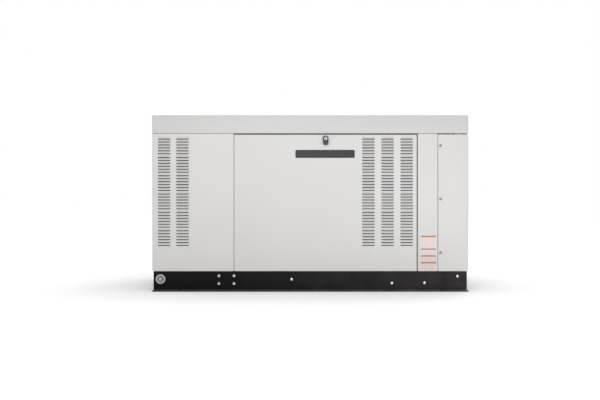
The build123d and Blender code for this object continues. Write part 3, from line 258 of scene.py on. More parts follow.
@dataclass(frozen=True)
class Enamel(Finish):
    """Black chassis enamel sprayed on rolled steel: semi-gloss, under road dust that lies on ledges, with a
    painted highlight on the ledges too and a painted reflection growing lighter towards one end.

    Attributes:
        dust: the colour of the dust, and of the painted highlight and painted reflection.
        reach: how far from the middle the painted reflection's gradient ends, in metres.
    """

    dust: str = "#6e6a66"
    reach: float = 0.8

    def shade(self, tree: bpy.types.NodeTree, place: Socket) -> bpy.types.Node:
        """Dust and a painted highlight on ledges, and a painted reflection towards one end, over a slightly
        rippled gloss.

        Args:
            tree: the material's nodes.
            place: the position on the piece.

        Returns:
            The shader node.
        """
        # painted reflection: the enamel is mixed lighter from its left-hand end to its right-hand end
        along = add_node(tree, "ShaderNodeSeparateXYZ", {"Vector": place}).outputs["X"]
        ends = {"Value": along, "From Min": -self.reach, "From Max": self.reach}
        drift = ends | {"To Min": -0.04, "To Max": 0.14}
        painted_reflection_ramp = add_node(tree, "ShaderNodeMapRange", drift).outputs["Result"]
        patches = self.blotch(tree, place, 90.0, 0.6, 1.3)
        # ledges that face up are mixed lighter: partly dust, partly a painted highlight
        facing_up = self.upward_share(tree, 0.4, 0.9)
        both = add_node(tree, "ShaderNodeMath", {0: painted_reflection_ramp, 1: facing_up}, operation="ADD").outputs[0]
        film = add_node(tree, "ShaderNodeMath", {0: both, 1: patches}, operation="MULTIPLY").outputs[0]
        orange_peel = {"Vector": place, "Scale": per_mm(9.0), "Detail": 2.0}
        ripple = add_node(tree, "ShaderNodeTexNoise", orange_peel)
        look = {
            "Base Color": self.tinted(tree, film, self.dust),
            "Specular IOR Level": 0.10,
            "Roughness": self.blotch(tree, place, 35.0, 0.34, 0.52),
            "Normal": self.bump(tree, ripple.outputs["Fac"], 0.25, 0.5),
        }
        return add_node(tree, "ShaderNodeBsdfPrincipled", look)


@dataclass(frozen=True)
class Galvanised(Finish):
    """Zinc on steel: pale crystals, each catching the light a little differently.

    Attributes:
        spangle: how large a crystal is, in millimetres.
        roughness: the dullest crystal's roughness.
        shade_colour: the darker crystals' colour.
    """

    spangle: float = 9.0
    roughness: float = 0.5
    shade_colour: str = "#8b9094"

    def shade(self, tree: bpy.types.NodeTree, place: Socket) -> bpy.types.Node:
        """Cells for the crystals, with their own tone and gloss, under a faint white bloom.

        Args:
            tree: the material's nodes.
            place: the position on the piece.

        Returns:
            The shader node.
        """
        scale = {"Vector": place, "Scale": per_mm(self.spangle), "Randomness": 1.0}
        cells = add_node(tree, "ShaderNodeTexVoronoi", scale, feature="F1")
        tone = add_node(tree, "ShaderNodeSeparateXYZ", {"Vector": cells.outputs["Color"]}).outputs["X"]
        glint = {"Value": tone, "To Min": self.roughness - 0.2, "To Max": self.roughness}
        look = {
            "Base Color": self.tinted(tree, tone, self.shade_colour),
            "Metallic": 1.0,
            "Roughness": add_node(tree, "ShaderNodeMapRange", glint).outputs["Result"],
            "Normal": self.bump(tree, cells.outputs["Distance"], 0.04, 0.4),
        }
        return add_node(tree, "ShaderNodeBsdfPrincipled", look)


@dataclass(frozen=True)
class Casting(Finish):
    """Sand-cast metal, bare or painted: a pebbly skin with dark hollows.

    Attributes:
        hollow: the colour that gathers in the hollows.
        grain: the sand's pitch in millimetres.
        metallic: 1 for bare metal, 0 for paint.
        roughness: the skin's roughness.
    """

    hollow: str
    grain: float = 2.0
    metallic: float = 1.0
    roughness: float = 0.5

    def shade(self, tree: bpy.types.NodeTree, place: Socket) -> bpy.types.Node:
        """Two sizes of grain for relief, and grime in broad patches.

        Args:
            tree: the material's nodes.
            place: the position on the piece.

        Returns:
            The shader node.
        """
        grit = {"Vector": place, "Scale": per_mm(self.grain), "Detail": 6.0}
        sand = add_node(tree, "ShaderNodeTexNoise", grit)
        look = {
            "Base Color": self.tinted(tree, self.blotch(tree, place, 26.0, 0.0, 0.75), self.hollow),
            "Metallic": self.metallic,
            "Roughness": self.blotch(tree, place, 12.0, self.roughness, self.roughness + 0.2),
            "Normal": self.bump(tree, sand.outputs["Fac"], 0.5, 0.8),
        }
        return add_node(tree, "ShaderNodeBsdfPrincipled", look)


@dataclass(frozen=True)
class Machined(Finish):
    """Turned or ground steel: bright, with fine tool lines and a trace of oil.

    Attributes:
        oil: the stain's colour.
        pitch: the tool lines' spacing in millimetres, drawn coarser than it is so that it shows.
        roughness: the brightest part's roughness.
        bands: how many lines the wave texture draws for each unit of its scale.
    """

    oil: str = "#6d675c"
    pitch: float = 1.6
    roughness: float = 0.24
    bands: float = 20.0

    def shade(self, tree: bpy.types.NodeTree, place: Socket) -> bpy.types.Node:
        """Lines across the axle, and stains.

        Args:
            tree: the material's nodes.
            place: the position on the piece.

        Returns:
            The shader node.
        """
        scale = per_mm(self.pitch) / self.bands
        lines = {"Vector": place, "Scale": scale, "Distortion": 1.0, "Detail": 2.0}
        turned = add_node(tree, "ShaderNodeTexWave", lines, wave_type="BANDS", bands_direction="X")
        look = {
            "Base Color": self.tinted(tree, self.blotch(tree, place, 18.0, 0.0, 0.5), self.oil),
            "Metallic": 1.0,
            "Roughness": self.blotch(tree, place, 8.0, self.roughness, self.roughness + 0.16),
            "Normal": self.bump(tree, turned.outputs["Fac"], 0.02, 0.5),
        }
        return add_node(tree, "ShaderNodeBsdfPrincipled", look)


@dataclass(frozen=True)
class HeatTinted(Finish):
    """Stainless or mild steel that runs hot: straw, purple and blue bands over a dull grey, with soot.

    Attributes:
        warm: the straw colour near the hottest part.
        cool: the blue beyond it.
    """

    warm: str = "#a58552"
    cool: str = "#5a6076"

    def shade(self, tree: bpy.types.NodeTree, place: Socket) -> bpy.types.Node:
        """Colour bands from a slow noise, with a scaly relief.

        Args:
            tree: the material's nodes.
            place: the position on the piece.

        Returns:
            The shader node.
        """
        slow = {"Vector": place, "Scale": per_mm(110.0), "Detail": 3.0, "Distortion": 0.6}
        heat = add_node(tree, "ShaderNodeTexNoise", slow)
        ramp = add_node(tree, "ShaderNodeValToRGB", {"Fac": heat.outputs["Fac"]})
        stops = ramp.color_ramp.elements
        stops[0].position, stops[0].color = 0.30, linear(self.cool)
        stops[1].position, stops[1].color = 0.72, linear(self.colour)
        for position, colour in ((0.44, self.warm), (0.56, self.colour)):
            stops.new(position).color = linear(colour)
        flakes = add_node(tree, "ShaderNodeTexNoise", {"Vector": place, "Scale": per_mm(1.8), "Detail": 5.0})
        look = {
            "Base Color": ramp.outputs["Color"],
            "Metallic": 1.0,
            "Roughness": self.blotch(tree, place, 24.0, 0.42, 0.66),
            "Normal": self.bump(tree, flakes.outputs["Fac"], 0.15, 0.7),
        }
        return add_node(tree, "ShaderNodeBsdfPrincipled", look)


@dataclass(frozen=True)
class Moulded(Finish):
    """Injection-moulded plastic: a spark-eroded grain, satin, a little lighter where it has been handled.

    Attributes:
        worn: the handled colour.
        grain: the grain's pitch in millimetres.
        roughness: the satin's roughness.
        depth: the grain's depth in millimetres.
    """

    worn: str
    grain: float = 0.9
    roughness: float = 0.42
    depth: float = 0.05

    def shade(self, tree: bpy.types.NodeTree, place: Socket) -> bpy.types.Node:
        """Fine grain, with the gloss and colour drifting slowly.

        Args:
            tree: the material's nodes.
            place: the position on the piece.

        Returns:
            The shader node.
        """
        cells = {"Vector": place, "Scale": per_mm(self.grain), "Smoothness": 1.0}
        grain = add_node(tree, "ShaderNodeTexVoronoi", cells, feature="SMOOTH_F1")
        look = {
            "Base Color": self.tinted(tree, self.blotch(tree, place, 30.0, 0.0, 0.35), self.worn),
            "Roughness": self.blotch(tree, place, 14.0, self.roughness, self.roughness + 0.14),
            "Normal": self.bump(tree, grain.outputs["Distance"], self.depth),
        }
        return add_node(tree, "ShaderNodeBsdfPrincipled", look)


@dataclass(frozen=True)
class MouldedGrip(Moulded):
    """A moulded grip over a bare spring-steel blade: plastic above, bright metal below.

    Attributes:
        blade: the steel's colour.
        foot: the height at which the grip ends, in millimetres.
    """

    blade: str = "#aeb2b5"
    foot: float = 526.0

    def shade(self, tree: bpy.types.NodeTree, place: Socket) -> bpy.types.Node:
        """The plastic's grain, turned to metal below the grip's foot.

        Args:
            tree: the material's nodes.
            place: the position on the piece.

        Returns:
            The shader node.
        """
        shader = super().shade(tree, place)
        height = add_node(tree, "ShaderNodeSeparateXYZ", {"Vector": place}).outputs["Z"]
        level = {0: height, 1: self.foot * MM}
        below = add_node(tree, "ShaderNodeMath", level, operation="LESS_THAN").outputs[0]
        tree.links.new(below, shader.inputs["Metallic"])
        tree.links.new(self.tinted(tree, below, self.blade), shader.inputs["Base Color"])
        return shader


@dataclass(frozen=True)
class Rubber(Finish):
    """Extruded black rubber: matt, with a grey bloom in patches."""

    bloom: str = "#3c3a38"

    def shade(self, tree: bpy.types.NodeTree, place: Socket) -> bpy.types.Node:
        """Matt, with bloom and a woven-reinforcement relief too fine to count.

        Args:
            tree: the material's nodes.
            place: the position on the piece.

        Returns:
            The shader node.
        """
        weave = add_node(tree, "ShaderNodeTexNoise", {"Vector": place, "Scale": per_mm(1.4), "Detail": 2.0})
        look = {
            "Base Color": self.tinted(tree, self.blotch(tree, place, 22.0, 0.0, 0.8), self.bloom),
            "Roughness": self.blotch(tree, place, 9.0, 0.62, 0.86),
            "Normal": self.bump(tree, weave.outputs["Fac"], 0.08),
            "Sheen Weight": 0.15,
        }
        return add_node(tree, "ShaderNodeBsdfPrincipled", look)


@dataclass(frozen=True)
class OpenFoam(Finish):
    """Open-cell acoustic foam: pale struts, with painted shade down in the pores between them, and no shine
    at all.

    Attributes:
        pore_shade: the painted shade's colour down in the pores.
        cell: the pores' pitch in millimetres, drawn twice as coarse as it is so that it shows.
    """

    pore_shade: str = "#151516"
    cell: float = 3.2

    def shade(self, tree: bpy.types.NodeTree, place: Socket) -> bpy.types.Node:
        """Pores as cells, deep, and painted dark at their middles as shade.

        Args:
            tree: the material's nodes.
            place: the position on the piece.

        Returns:
            The shader node.
        """
        pores = {"Vector": place, "Scale": per_mm(self.cell)}
        cells = add_node(tree, "ShaderNodeTexVoronoi", pores, feature="F1")
        # painted shade: each pore is mixed darker towards its middle
        bubble = {"Value": cells.outputs["Distance"], "From Min": 0.15, "From Max": 0.6}
        hole = bubble | {"To Min": 1.0, "To Max": 0.0}
        depth = add_node(tree, "ShaderNodeMapRange", hole).outputs["Result"]
        look = {
            "Base Color": self.tinted(tree, depth, self.pore_shade),
            "Roughness": 0.95,
            "Normal": self.bump(tree, cells.outputs["Distance"], 0.9),
        }
        return add_node(tree, "ShaderNodeBsdfPrincipled", look)


@dataclass(frozen=True)
class LabelFilm(Finish):
    """Printed polyester film under a clear laminate: flat colour with a fine print screen and a smooth gloss.

    Attributes:
        screen: the colour between the print's dots.
    """

    screen: str

    def shade(self, tree: bpy.types.NodeTree, place: Socket) -> bpy.types.Node:
        """The print screen's dots, a drift in the ink, and a laminate that follows the panel's grain.

        Args:
            tree: the material's nodes.
            place: the position on the piece.

        Returns:
            The shader node.
        """
        dots = add_node(tree, "ShaderNodeTexVoronoi", {"Vector": place, "Scale": per_mm(1.5)}, feature="F1")
        bare = {"Value": dots.outputs["Distance"], "From Min": 0.35, "From Max": 0.75}
        ink = bare | {"To Min": 0.0, "To Max": 0.5}
        amount = add_node(tree, "ShaderNodeMapRange", ink).outputs["Result"]
        grain = add_node(tree, "ShaderNodeTexNoise", {"Vector": place, "Scale": per_mm(3.0), "Detail": 2.0})
        look = {
            "Base Color": self.tinted(tree, amount, self.screen),
            "Roughness": self.blotch(tree, place, 25.0, 0.22, 0.34),
            "Normal": self.bump(tree, grain.outputs["Fac"], 0.04, 0.5),
            "Coat Weight": 0.3,
        }
        return add_node(tree, "ShaderNodeBsdfPrincipled", look)


@dataclass(frozen=True)
class MilkyPlastic(Finish):
    """Blow-moulded natural polyethylene: milky and translucent, with the coolant's colour showing low down.

    Attributes:
        coolant: the coolant's colour as it shows through the wall.
        level: the height of the coolant, in millimetres.
    """

    coolant: str = "#7fa56a"
    level: float = 640.0

    def shade(self, tree: bpy.types.NodeTree, place: Socket) -> bpy.types.Node:
        """The coolant's edge as a short gradient at its level, under a softly scattering skin.

        Args:
            tree: the material's nodes.
            place: the position on the piece.

        Returns:
            The shader node.
        """
        height = add_node(tree, "ShaderNodeSeparateXYZ", {"Vector": place}).outputs["Z"]
        edge = {
            "Value": height,
            "From Min": (self.level - 3) * MM,
            "From Max": (self.level + 3) * MM,
            "To Min": 0.8,
            "To Max": 0.0,
        }
        wet = add_node(tree, "ShaderNodeMapRange", edge).outputs["Result"]
        skin = add_node(tree, "ShaderNodeTexNoise", {"Vector": place, "Scale": per_mm(6.0), "Detail": 3.0})
        look = {
            "Base Color": self.tinted(tree, wet, self.coolant),
            "Roughness": self.blotch(tree, place, 20.0, 0.3, 0.45),
            "Subsurface Weight": 0.25,
            "Subsurface Scale": 0.006,
            "Normal": self.bump(tree, skin.outputs["Fac"], 0.2, 0.5),
        }
        return add_node(tree, "ShaderNodeBsdfPrincipled", look)


@dataclass(frozen=True)
class StudioSweep(Finish):
    """Matt white studio paper that glows as painted light of its own, faintly in the middle and more and more
    away from it.

    Attributes:
        fibre: the tone of its faint drift.
        near: how far out the glow starts to grow, in metres.
        far: where it has grown to its full strength.
        dim: the glow's strength in the middle.
        bright: its full strength.
    """

    fibre: str = "#fafafa"
    near: float = 0.7
    far: float = 2.6
    dim: float = 0.08
    bright: float = 0.5

    def shade(self, tree: bpy.types.NodeTree, place: Socket) -> bpy.types.Node:
        """A faint drift of tone, and a glow that grows outwards.

        Args:
            tree: the material's nodes.
            place: the position on the piece.

        Returns:
            The shader node.
        """
        # painted light: the paper emits light, weakly near the middle and strongly far out
        away = add_node(tree, "ShaderNodeVectorMath", {0: place}, operation="LENGTH").outputs["Value"]
        reach = {"Value": away, "From Min": self.near, "From Max": self.far}
        growth = reach | {"To Min": self.dim, "To Max": self.bright}
        glow = add_node(tree, "ShaderNodeMapRange", growth).outputs["Result"]
        look = {
            "Base Color": self.tinted(tree, self.blotch(tree, place, 900.0, 0.0, 1.0), self.fibre),
            "Roughness": 0.9,
            "Specular IOR Level": 0.1,
            "Emission Color": (1.0, 1.0, 1.0, 1.0),
            "Emission Strength": glow,
        }
        return add_node(tree, "ShaderNodeBsdfPrincipled", look)


class Stock(Enum):
    """Every finish that the set is made in."""

    ENCLOSURE = PowderCoat("pale_grey_texture_powder_coat", "#cdcccb")
    # painted shade: the roof takes the enclosure's paint made darker, for the shade on its skirt
    ROOF = PowderCoat("painted_shade_roof_powder_coat", "#c5c4c3")
    CHASSIS = Enamel("black_chassis_enamel", "#100f10")
    FRAME = Galvanised("galvanised_sheet", "#b6babd", spangle=14.0)
    ZINC = Galvanised("bright_zinc_plate", "#d3d5d6", spangle=3.0, roughness=0.36, shade_colour="#aeb2b5")
    SCREW = Galvanised("dull_zinc_screw", "#8b8e91", spangle=2.0, roughness=0.55, shade_colour="#707377")
    FOAM = OpenFoam("open_cell_acoustic_foam", "#4a4a4c")
    PLATE = Moulded("charcoal_moulded_nameplate", "#202124", worn="#2b2c30", grain=1.2)
    PLATE_RIM = Machined("brushed_aluminium_rim", "#c9cccf", oil="#a8abae", pitch=1.0, roughness=0.3)
    LABEL = LabelFilm("pale_label_film", "#c6b5ad", screen="#cfc1ba")
    LABEL_BAND = LabelFilm("amber_label_band", "#8e5330", screen="#9d613b")
    LATCH = Moulded("black_zinc_die_cast_latch", "#2c2c2e", worn="#48484b", grain=0.6, roughness=0.34)
    CHROME = Machined("chromed_key_cylinder", "#dcdde0", oil="#b4b5b8", pitch=1.0, roughness=0.16)
    IRON = Casting("grey_cast_iron", "#5a5c5e", hollow="#37373a", grain=1.6, roughness=0.58)
    ALUMINIUM = Casting("sand_cast_aluminium", "#b9bcbe", hollow="#85888a", grain=2.2, roughness=0.44)
    STEEL = Machined("machined_steel", "#b4b7ba")
    DARK_STEEL = Casting("black_oxide_steel", "#34363a", hollow="#222326", grain=3.0, roughness=0.42)
    EXHAUST = HeatTinted("heat_tinted_exhaust_steel", "#8b8784")
    RUBBER = Rubber("black_rubber", "#1a1a1b")
    BLACK_PLASTIC = Moulded("black_moulded_nylon", "#1c1c1e", worn="#2c2c2e")
    MILKY = MilkyPlastic("milky_polyethylene", "#dfe2dc")
    FILTER = PowderCoat("orange_filter_enamel", "#b8622a", dust="#7d5a3c", roughness=0.3)
    GENERATOR = Casting("blue_grey_machine_enamel", "#5c6a73", hollow="#48535b", metallic=0.0, roughness=0.4)
    COPPER = Machined("drawn_copper", "#c07a52", oil="#7a4a30", pitch=1.2, roughness=0.3)
    FINS = Machined("radiator_fin_aluminium", "#8f9497", oil="#5d6265", pitch=2.4, roughness=0.42)
    RED = Moulded("red_stop_button_plastic", "#b8211c", worn="#c93a33", roughness=0.28)
    YELLOW = Moulded("yellow_handle_plastic", "#e0a81c", worn="#eab83a", roughness=0.34)
    DIPSTICK = MouldedGrip("yellow_grip_on_steel_blade", "#e0a81c", worn="#eab83a", roughness=0.34)
    CABINET = PowderCoat("light_grey_cabinet_powder_coat", "#b9bcbe", dust="#96938c", roughness=0.38)
    # painted shade: a near-black sheet behind the louvres, so that their slits look dark
    SCREEN = Moulded("black_painted_shade_sheet", "#0f0f10", worn="#1b1b1c", grain=1.4, roughness=0.7)
    PLUG = Moulded("grey_moulded_plug", "#a9aaab", worn="#bcbdbe", grain=1.4)
    # the plug's dished face is made darker than its rim
    PLUG_DISH = Moulded("darker_plug_dish", "#77787a", worn="#8b8c8e", grain=1.4, roughness=0.6)
    GLASS = Moulded("dark_display_window", "#10161a", worn="#141c21", grain=20.0, roughness=0.08, depth=0.0)
    LAMP = Moulded("green_lamp_lens", "#3f8f4a", worn="#57a862", roughness=0.18)
    PAPER = StudioSweep("white_studio_paper", "#fdfdfd")


# ---------------------------------------------------------------- workshop
def span(node: str) -> tuple[Vector, Vector]:
    """A CAD node's lowest and highest corners, in millimetres."""
    low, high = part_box(node)
    return low / MM, high / MM


class Shape:
    """A mesh being shaped in millimetres, which becomes a piece in metres."""

    def __init__(self) -> None:
        """Starts with an empty mesh."""
        self.mesh = bmesh.new()

    def paint(self, faces: Iterable[bmesh.types.BMFace], finish: int) -> None:
        """Gives faces the finish of that number on the piece."""
        for face in faces:
            face.material_index = finish

    def soften(self, edges: Sequence[bmesh.types.BMEdge], radius: float, steps: int = 2) -> list:
        """Rounds edges over.

        Args:
            edges: the edges to round.
            radius: the round's size.
            steps: how many flats make the round.

        Returns:
            The new faces.
        """
        result = bmesh.ops.bevel(
            self.mesh,
            geom=edges,
            offset=radius,
            offset_type="OFFSET",
            affect="EDGES",
            segments=steps,
            profile=0.5,
            material=-1,
            clamp_overlap=True,
        )
        return result["faces"]

    def through(self, least: float, edges: Iterable[bmesh.types.BMEdge] = ()) -> list:
        """The edges that run from a plate's front towards its back.

        Args:
            least: how far front to back an edge must run to count.
            edges: where to look, which is the whole mesh if nothing is given.

        Returns:
            Those edges.
        """
        among = edges or self.mesh.edges
        return [edge for edge in among if abs(edge.verts[0].co.y - edge.verts[1].co.y) > least]

    def front(self) -> bmesh.types.BMFace:
        """The foremost face, and the largest where several lie in one plane."""

        def order(face: bmesh.types.BMFace) -> tuple[float, float]:
            """A face's depth, then its size."""
            return round(face.calc_center_median().y, 2), -face.calc_area()

        return min(self.mesh.faces, key=order)

    def widest_front(self, least: float = 0.99) -> bmesh.types.BMFace:
        """The largest face that faces forward, however deep it lies.

        Args:
            least: how squarely it must face forward, where 1 is dead ahead.

        Returns:
            That face.
        """
        forward = (face for face in self.mesh.faces if face.normal.y < -least)
        return max(forward, key=lambda face: face.calc_area())

    def box(self, low: Point, high: Point, radius: float = 0.0, steps: int = 2, finish: int = 0) -> list:
        """Adds a block.

        Args:
            low: its lowest corner.
            high: its highest corner.
            radius: the round on all its edges.
            steps: how many flats make the round.
            finish: the finish's number.

        Returns:
            The block's vertices.
        """
        size = Vector(high) - Vector(low)
        place = Matrix.Translation((Vector(low) + Vector(high)) / 2) @ Matrix.Diagonal((*size, 1.0))
        verts = bmesh.ops.create_cube(self.mesh, size=1.0, matrix=place)["verts"]
        faces = {face for vert in verts for face in vert.link_faces}
        self.paint(faces, finish)
        if radius:
            edges = list({edge for vert in verts for edge in vert.link_edges})
            rounds = self.soften(edges, radius, steps)
            self.paint(rounds, finish)
            faces = {face for face in faces if face.is_valid} | set(rounds)
            verts = list({vert for face in faces for vert in face.verts})
        return verts

    def rod(
        self,
        foot: Point,
        tip: Point,
        radius: float,
        sides: int = 24,
        tip_radius: float | None = None,
        edge: float = 0.0,
        finish: int = 0,
    ) -> list:
        """Adds a round or many-sided bar.

        Args:
            foot: the middle of its first end.
            tip: the middle of its other end.
            radius: the foot's radius.
            sides: how many sides it has.
            tip_radius: the tip's radius, where it differs.
            edge: the round on its two rims.
            finish: the finish's number.

        Returns:
            The bar's vertices.
        """
        run = Vector(tip) - Vector(foot)
        turn = run.to_track_quat("Z", "Y").to_matrix().to_4x4()
        made = bmesh.ops.create_cone(
            self.mesh,
            cap_ends=True,
            cap_tris=False,
            segments=sides,
            radius1=radius,
            radius2=radius if tip_radius is None else tip_radius,
            depth=run.length,
            matrix=Matrix.Translation((Vector(foot) + Vector(tip)) / 2) @ turn,
        )
        verts = made["verts"]
        faces = {face for vert in verts for face in vert.link_faces}
        self.paint(faces, finish)
        if edge:
            caps = [face for face in faces if len(face.verts) == sides and sides != 4]
            rims = list({rim for cap in caps for rim in cap.edges})
            rounds = self.soften(rims, edge)
            self.paint(rounds, finish)
            faces = {face for face in faces if face.is_valid} | set(rounds)
            verts = list({vert for face in faces for vert in face.verts})
        return verts

    def turned(
        self,
        outline: Sequence[tuple[float, float]],
        centre: Point,
        axis: Point,
        sides: int = 32,
        finish: int = 0,
    ) -> list:
        """Adds a solid turned from its half outline.

        Args:
            outline: radius and distance along the axis, point by point, from pole to pole.
            centre: where the axis starts.
            axis: the axis's direction.
            sides: how many steps go round.
            finish: the finish's number.

        Returns:
            The solid's vertices.
        """
        way = Vector(axis).normalized()
        side = way.orthogonal().normalized()
        points = [Vector(centre) + side * radius + way * along for radius, along in outline]
        verts = [bmesh.ops.create_vert(self.mesh, co=point)["vert"][0] for point in points]
        edges = [self.mesh.edges.new(pair) for pair in zip(verts, verts[1:])]
        bmesh.ops.spin(
            self.mesh,
            geom=verts + edges,
            cent=centre,
            axis=way,
            angle=math.tau,
            steps=sides,
            use_merge=True,
            use_duplicate=False,
        )
        faces = {face for vert in verts for face in vert.link_faces}
        grown = set(faces)
        while grown:
            grown = {near for face in grown for edge in face.edges for near in edge.link_faces} - faces
            faces |= grown
        around = list({vert for face in faces for vert in face.verts})
        bmesh.ops.remove_doubles(self.mesh, verts=around, dist=0.001)
        faces = [face for face in faces if face.is_valid]
        bmesh.ops.recalc_face_normals(self.mesh, faces=faces)
        self.paint(faces, finish)
        return list({vert for face in faces for vert in face.verts})

    def piece(
        self,
        name: str,
        body: str,
        slot: str,
        stock: Sequence[Stock],
        replaces: Sequence[str] = (),
        smooth: float = 35.0,
    ) -> bpy.types.Object:
        """Turns the shape into a piece of the set.

        Args:
            name: the piece's name.
            body: the body that it rides on.
            slot: the name of the record's material slot, which is not used.
            stock: its finishes, in the order of their numbers.
            replaces: the CAD nodes that it stands for.
            smooth: the steepest angle, in degrees, that is shaded as one curve.

        Returns:
            The new object.
        """
        bmesh.ops.scale(self.mesh, vec=(MM, MM, MM), verts=self.mesh.verts)
        data = bpy.data.meshes.new(name)
        self.mesh.to_mesh(data)
        self.mesh.free()
        data.shade_smooth()
        data.set_sharp_from_angle(angle=math.radians(smooth))
        for finish in stock:
            data.materials.append(finish.value.material())
        made = bpy.data.objects.new(name, data)
        bpy.context.scene.collection.objects.link(made)
        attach(made, body)
        if replaces:
            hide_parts(*replaces)
        log.info("%s: %d faces on %s", name, len(data.polygons), body)
        return made


# ---------------------------------------------------------------- louvred sheet panels
class Wall(Enum):
    """A wall of the enclosure, as the turn about the vertical that brings the front wall there."""

    FRONT = 0.0
    RIGHT = 90.0
    REAR = 180.0
    LEFT = -90.0

    @property
    def turn(self) -> Matrix:
        """The turn as a matrix."""
        return Matrix.Rotation(math.radians(self.value), 4, "Z")


class Press(Enum):
    """Which way a panel's louvres are pressed."""

    OUT = 1.0
    IN = -1.0


@dataclass(frozen=True)
class Louvre:
    """One pressed louvre: a hood that rises from its top bend to an open lip, with rounded ends.

    Attributes:
        length: from end to end.
        rise: from its row's line up to the bend.
        drop: from its row's line down to the lip.
        stand: how far the lip stands off the sheet.
        end: how long each rounded end is.
        slit: the open gap in the sheet below the lip.
        margin: how far outside each end the flat sheet is cut again.
    """

    length: float = 64.0
    rise: float = 6.0
    drop: float = 2.6
    stand: float = 5.0
    end: float = 9.0
    slit: float = 4.4
    margin: float = 1.5

    @property
    def slit_end(self) -> float:
        """How far the slit stops short of the louvre's end."""
        return 0.14 * self.end

    @property
    def height(self) -> float:
        """From the lip up to the bend."""
        return self.rise + self.drop

    def across(self, middle: float) -> list[float]:
        """The lines that cut one louvre along its length, and one outside it that keeps the sheet flat.

        Args:
            middle: the louvre's middle.

        Returns:
            The lines, from one end to the other.
        """
        steps = (-self.margin, 0.0, self.slit_end, 0.45 * self.end, self.end)
        left = [middle - self.length / 2 + step for step in steps]
        return left + [2 * middle - line for line in reversed(left)]

    def up(self, row: float) -> list[float]:
        """The lines that cut one louvre across its height, from below its slit to the bend."""
        hood = [row - self.drop + share * self.height for share in (0.0, 0.30, 0.55, 0.80, 1.0)]
        return [row - self.drop - self.slit] + hood

    def relief(self, from_end: float, from_bend: float) -> float:
        """How far the sheet is pressed at a point of the louvre.

        Args:
            from_end: the distance from the nearer end.
            from_bend: the distance below the bend.

        Returns:
            The height of the pressing there.
        """
        along = min(1.0, from_end / self.end)
        down = min(1.0, from_bend / (0.72 * self.height))
        return self.stand * math.sqrt(1 - (1 - along) ** 2) * math.sin(down * math.pi / 2)


@dataclass(frozen=True)
class LouvreField:
    """The rows of louvres that every louvred panel shares.

    Attributes:
        top: the top row's line.
        pitch: from row to row.
        group_pitch: from group to group.
        groups: how many groups there are.
        rows: how many rows a group has.
    """

    top: float = 763.0
    pitch: float = 14.7
    group_pitch: float = 91.5
    groups: int = 6
    rows: int = 6

    def lines(self) -> list[float]:
        """The height of every row."""
        return [
            self.top - group * self.group_pitch - row * self.pitch
            for group in range(self.groups)
            for row in range(self.rows)
        ]


@dataclass(frozen=True)
class Fold:
    """A turned-back edge of a sheet: its bend's radius, and how deep it goes."""

    radius: float
    depth: float = 25.0

    @property
    def arc(self) -> float:
        """The length of sheet in the bend."""
        return self.radius * math.pi / 2

    def blank(self, edge: float, sign: float, steps: int = 4) -> list[float]:
        """The flat blank's lines for this fold, outwards from the face.

        Args:
            edge: where the folded edge ends up.
            sign: 1 at a high edge, -1 at a low one.
            steps: how many flats make the bend.

        Returns:
            The lines, from the face's end to the edge of the blank.
        """
        start = edge - sign * self.radius
        bend = [start + sign * self.arc * step / steps for step in range(steps + 1)]
        return bend + [start + sign * (self.arc + self.depth - self.radius)]

    def place(self, beyond: float) -> tuple[float, float]:
        """Where a point of the blank goes once the fold is made.

        Args:
            beyond: its distance past the start of the bend.

        Returns:
            Its distance past the start of the bend, and how far it is set back.
        """
        if beyond <= self.arc:
            angle = beyond / self.radius
            return self.radius * math.sin(angle), self.radius * (1 - math.cos(angle))
        return self.radius, self.radius + beyond - self.arc


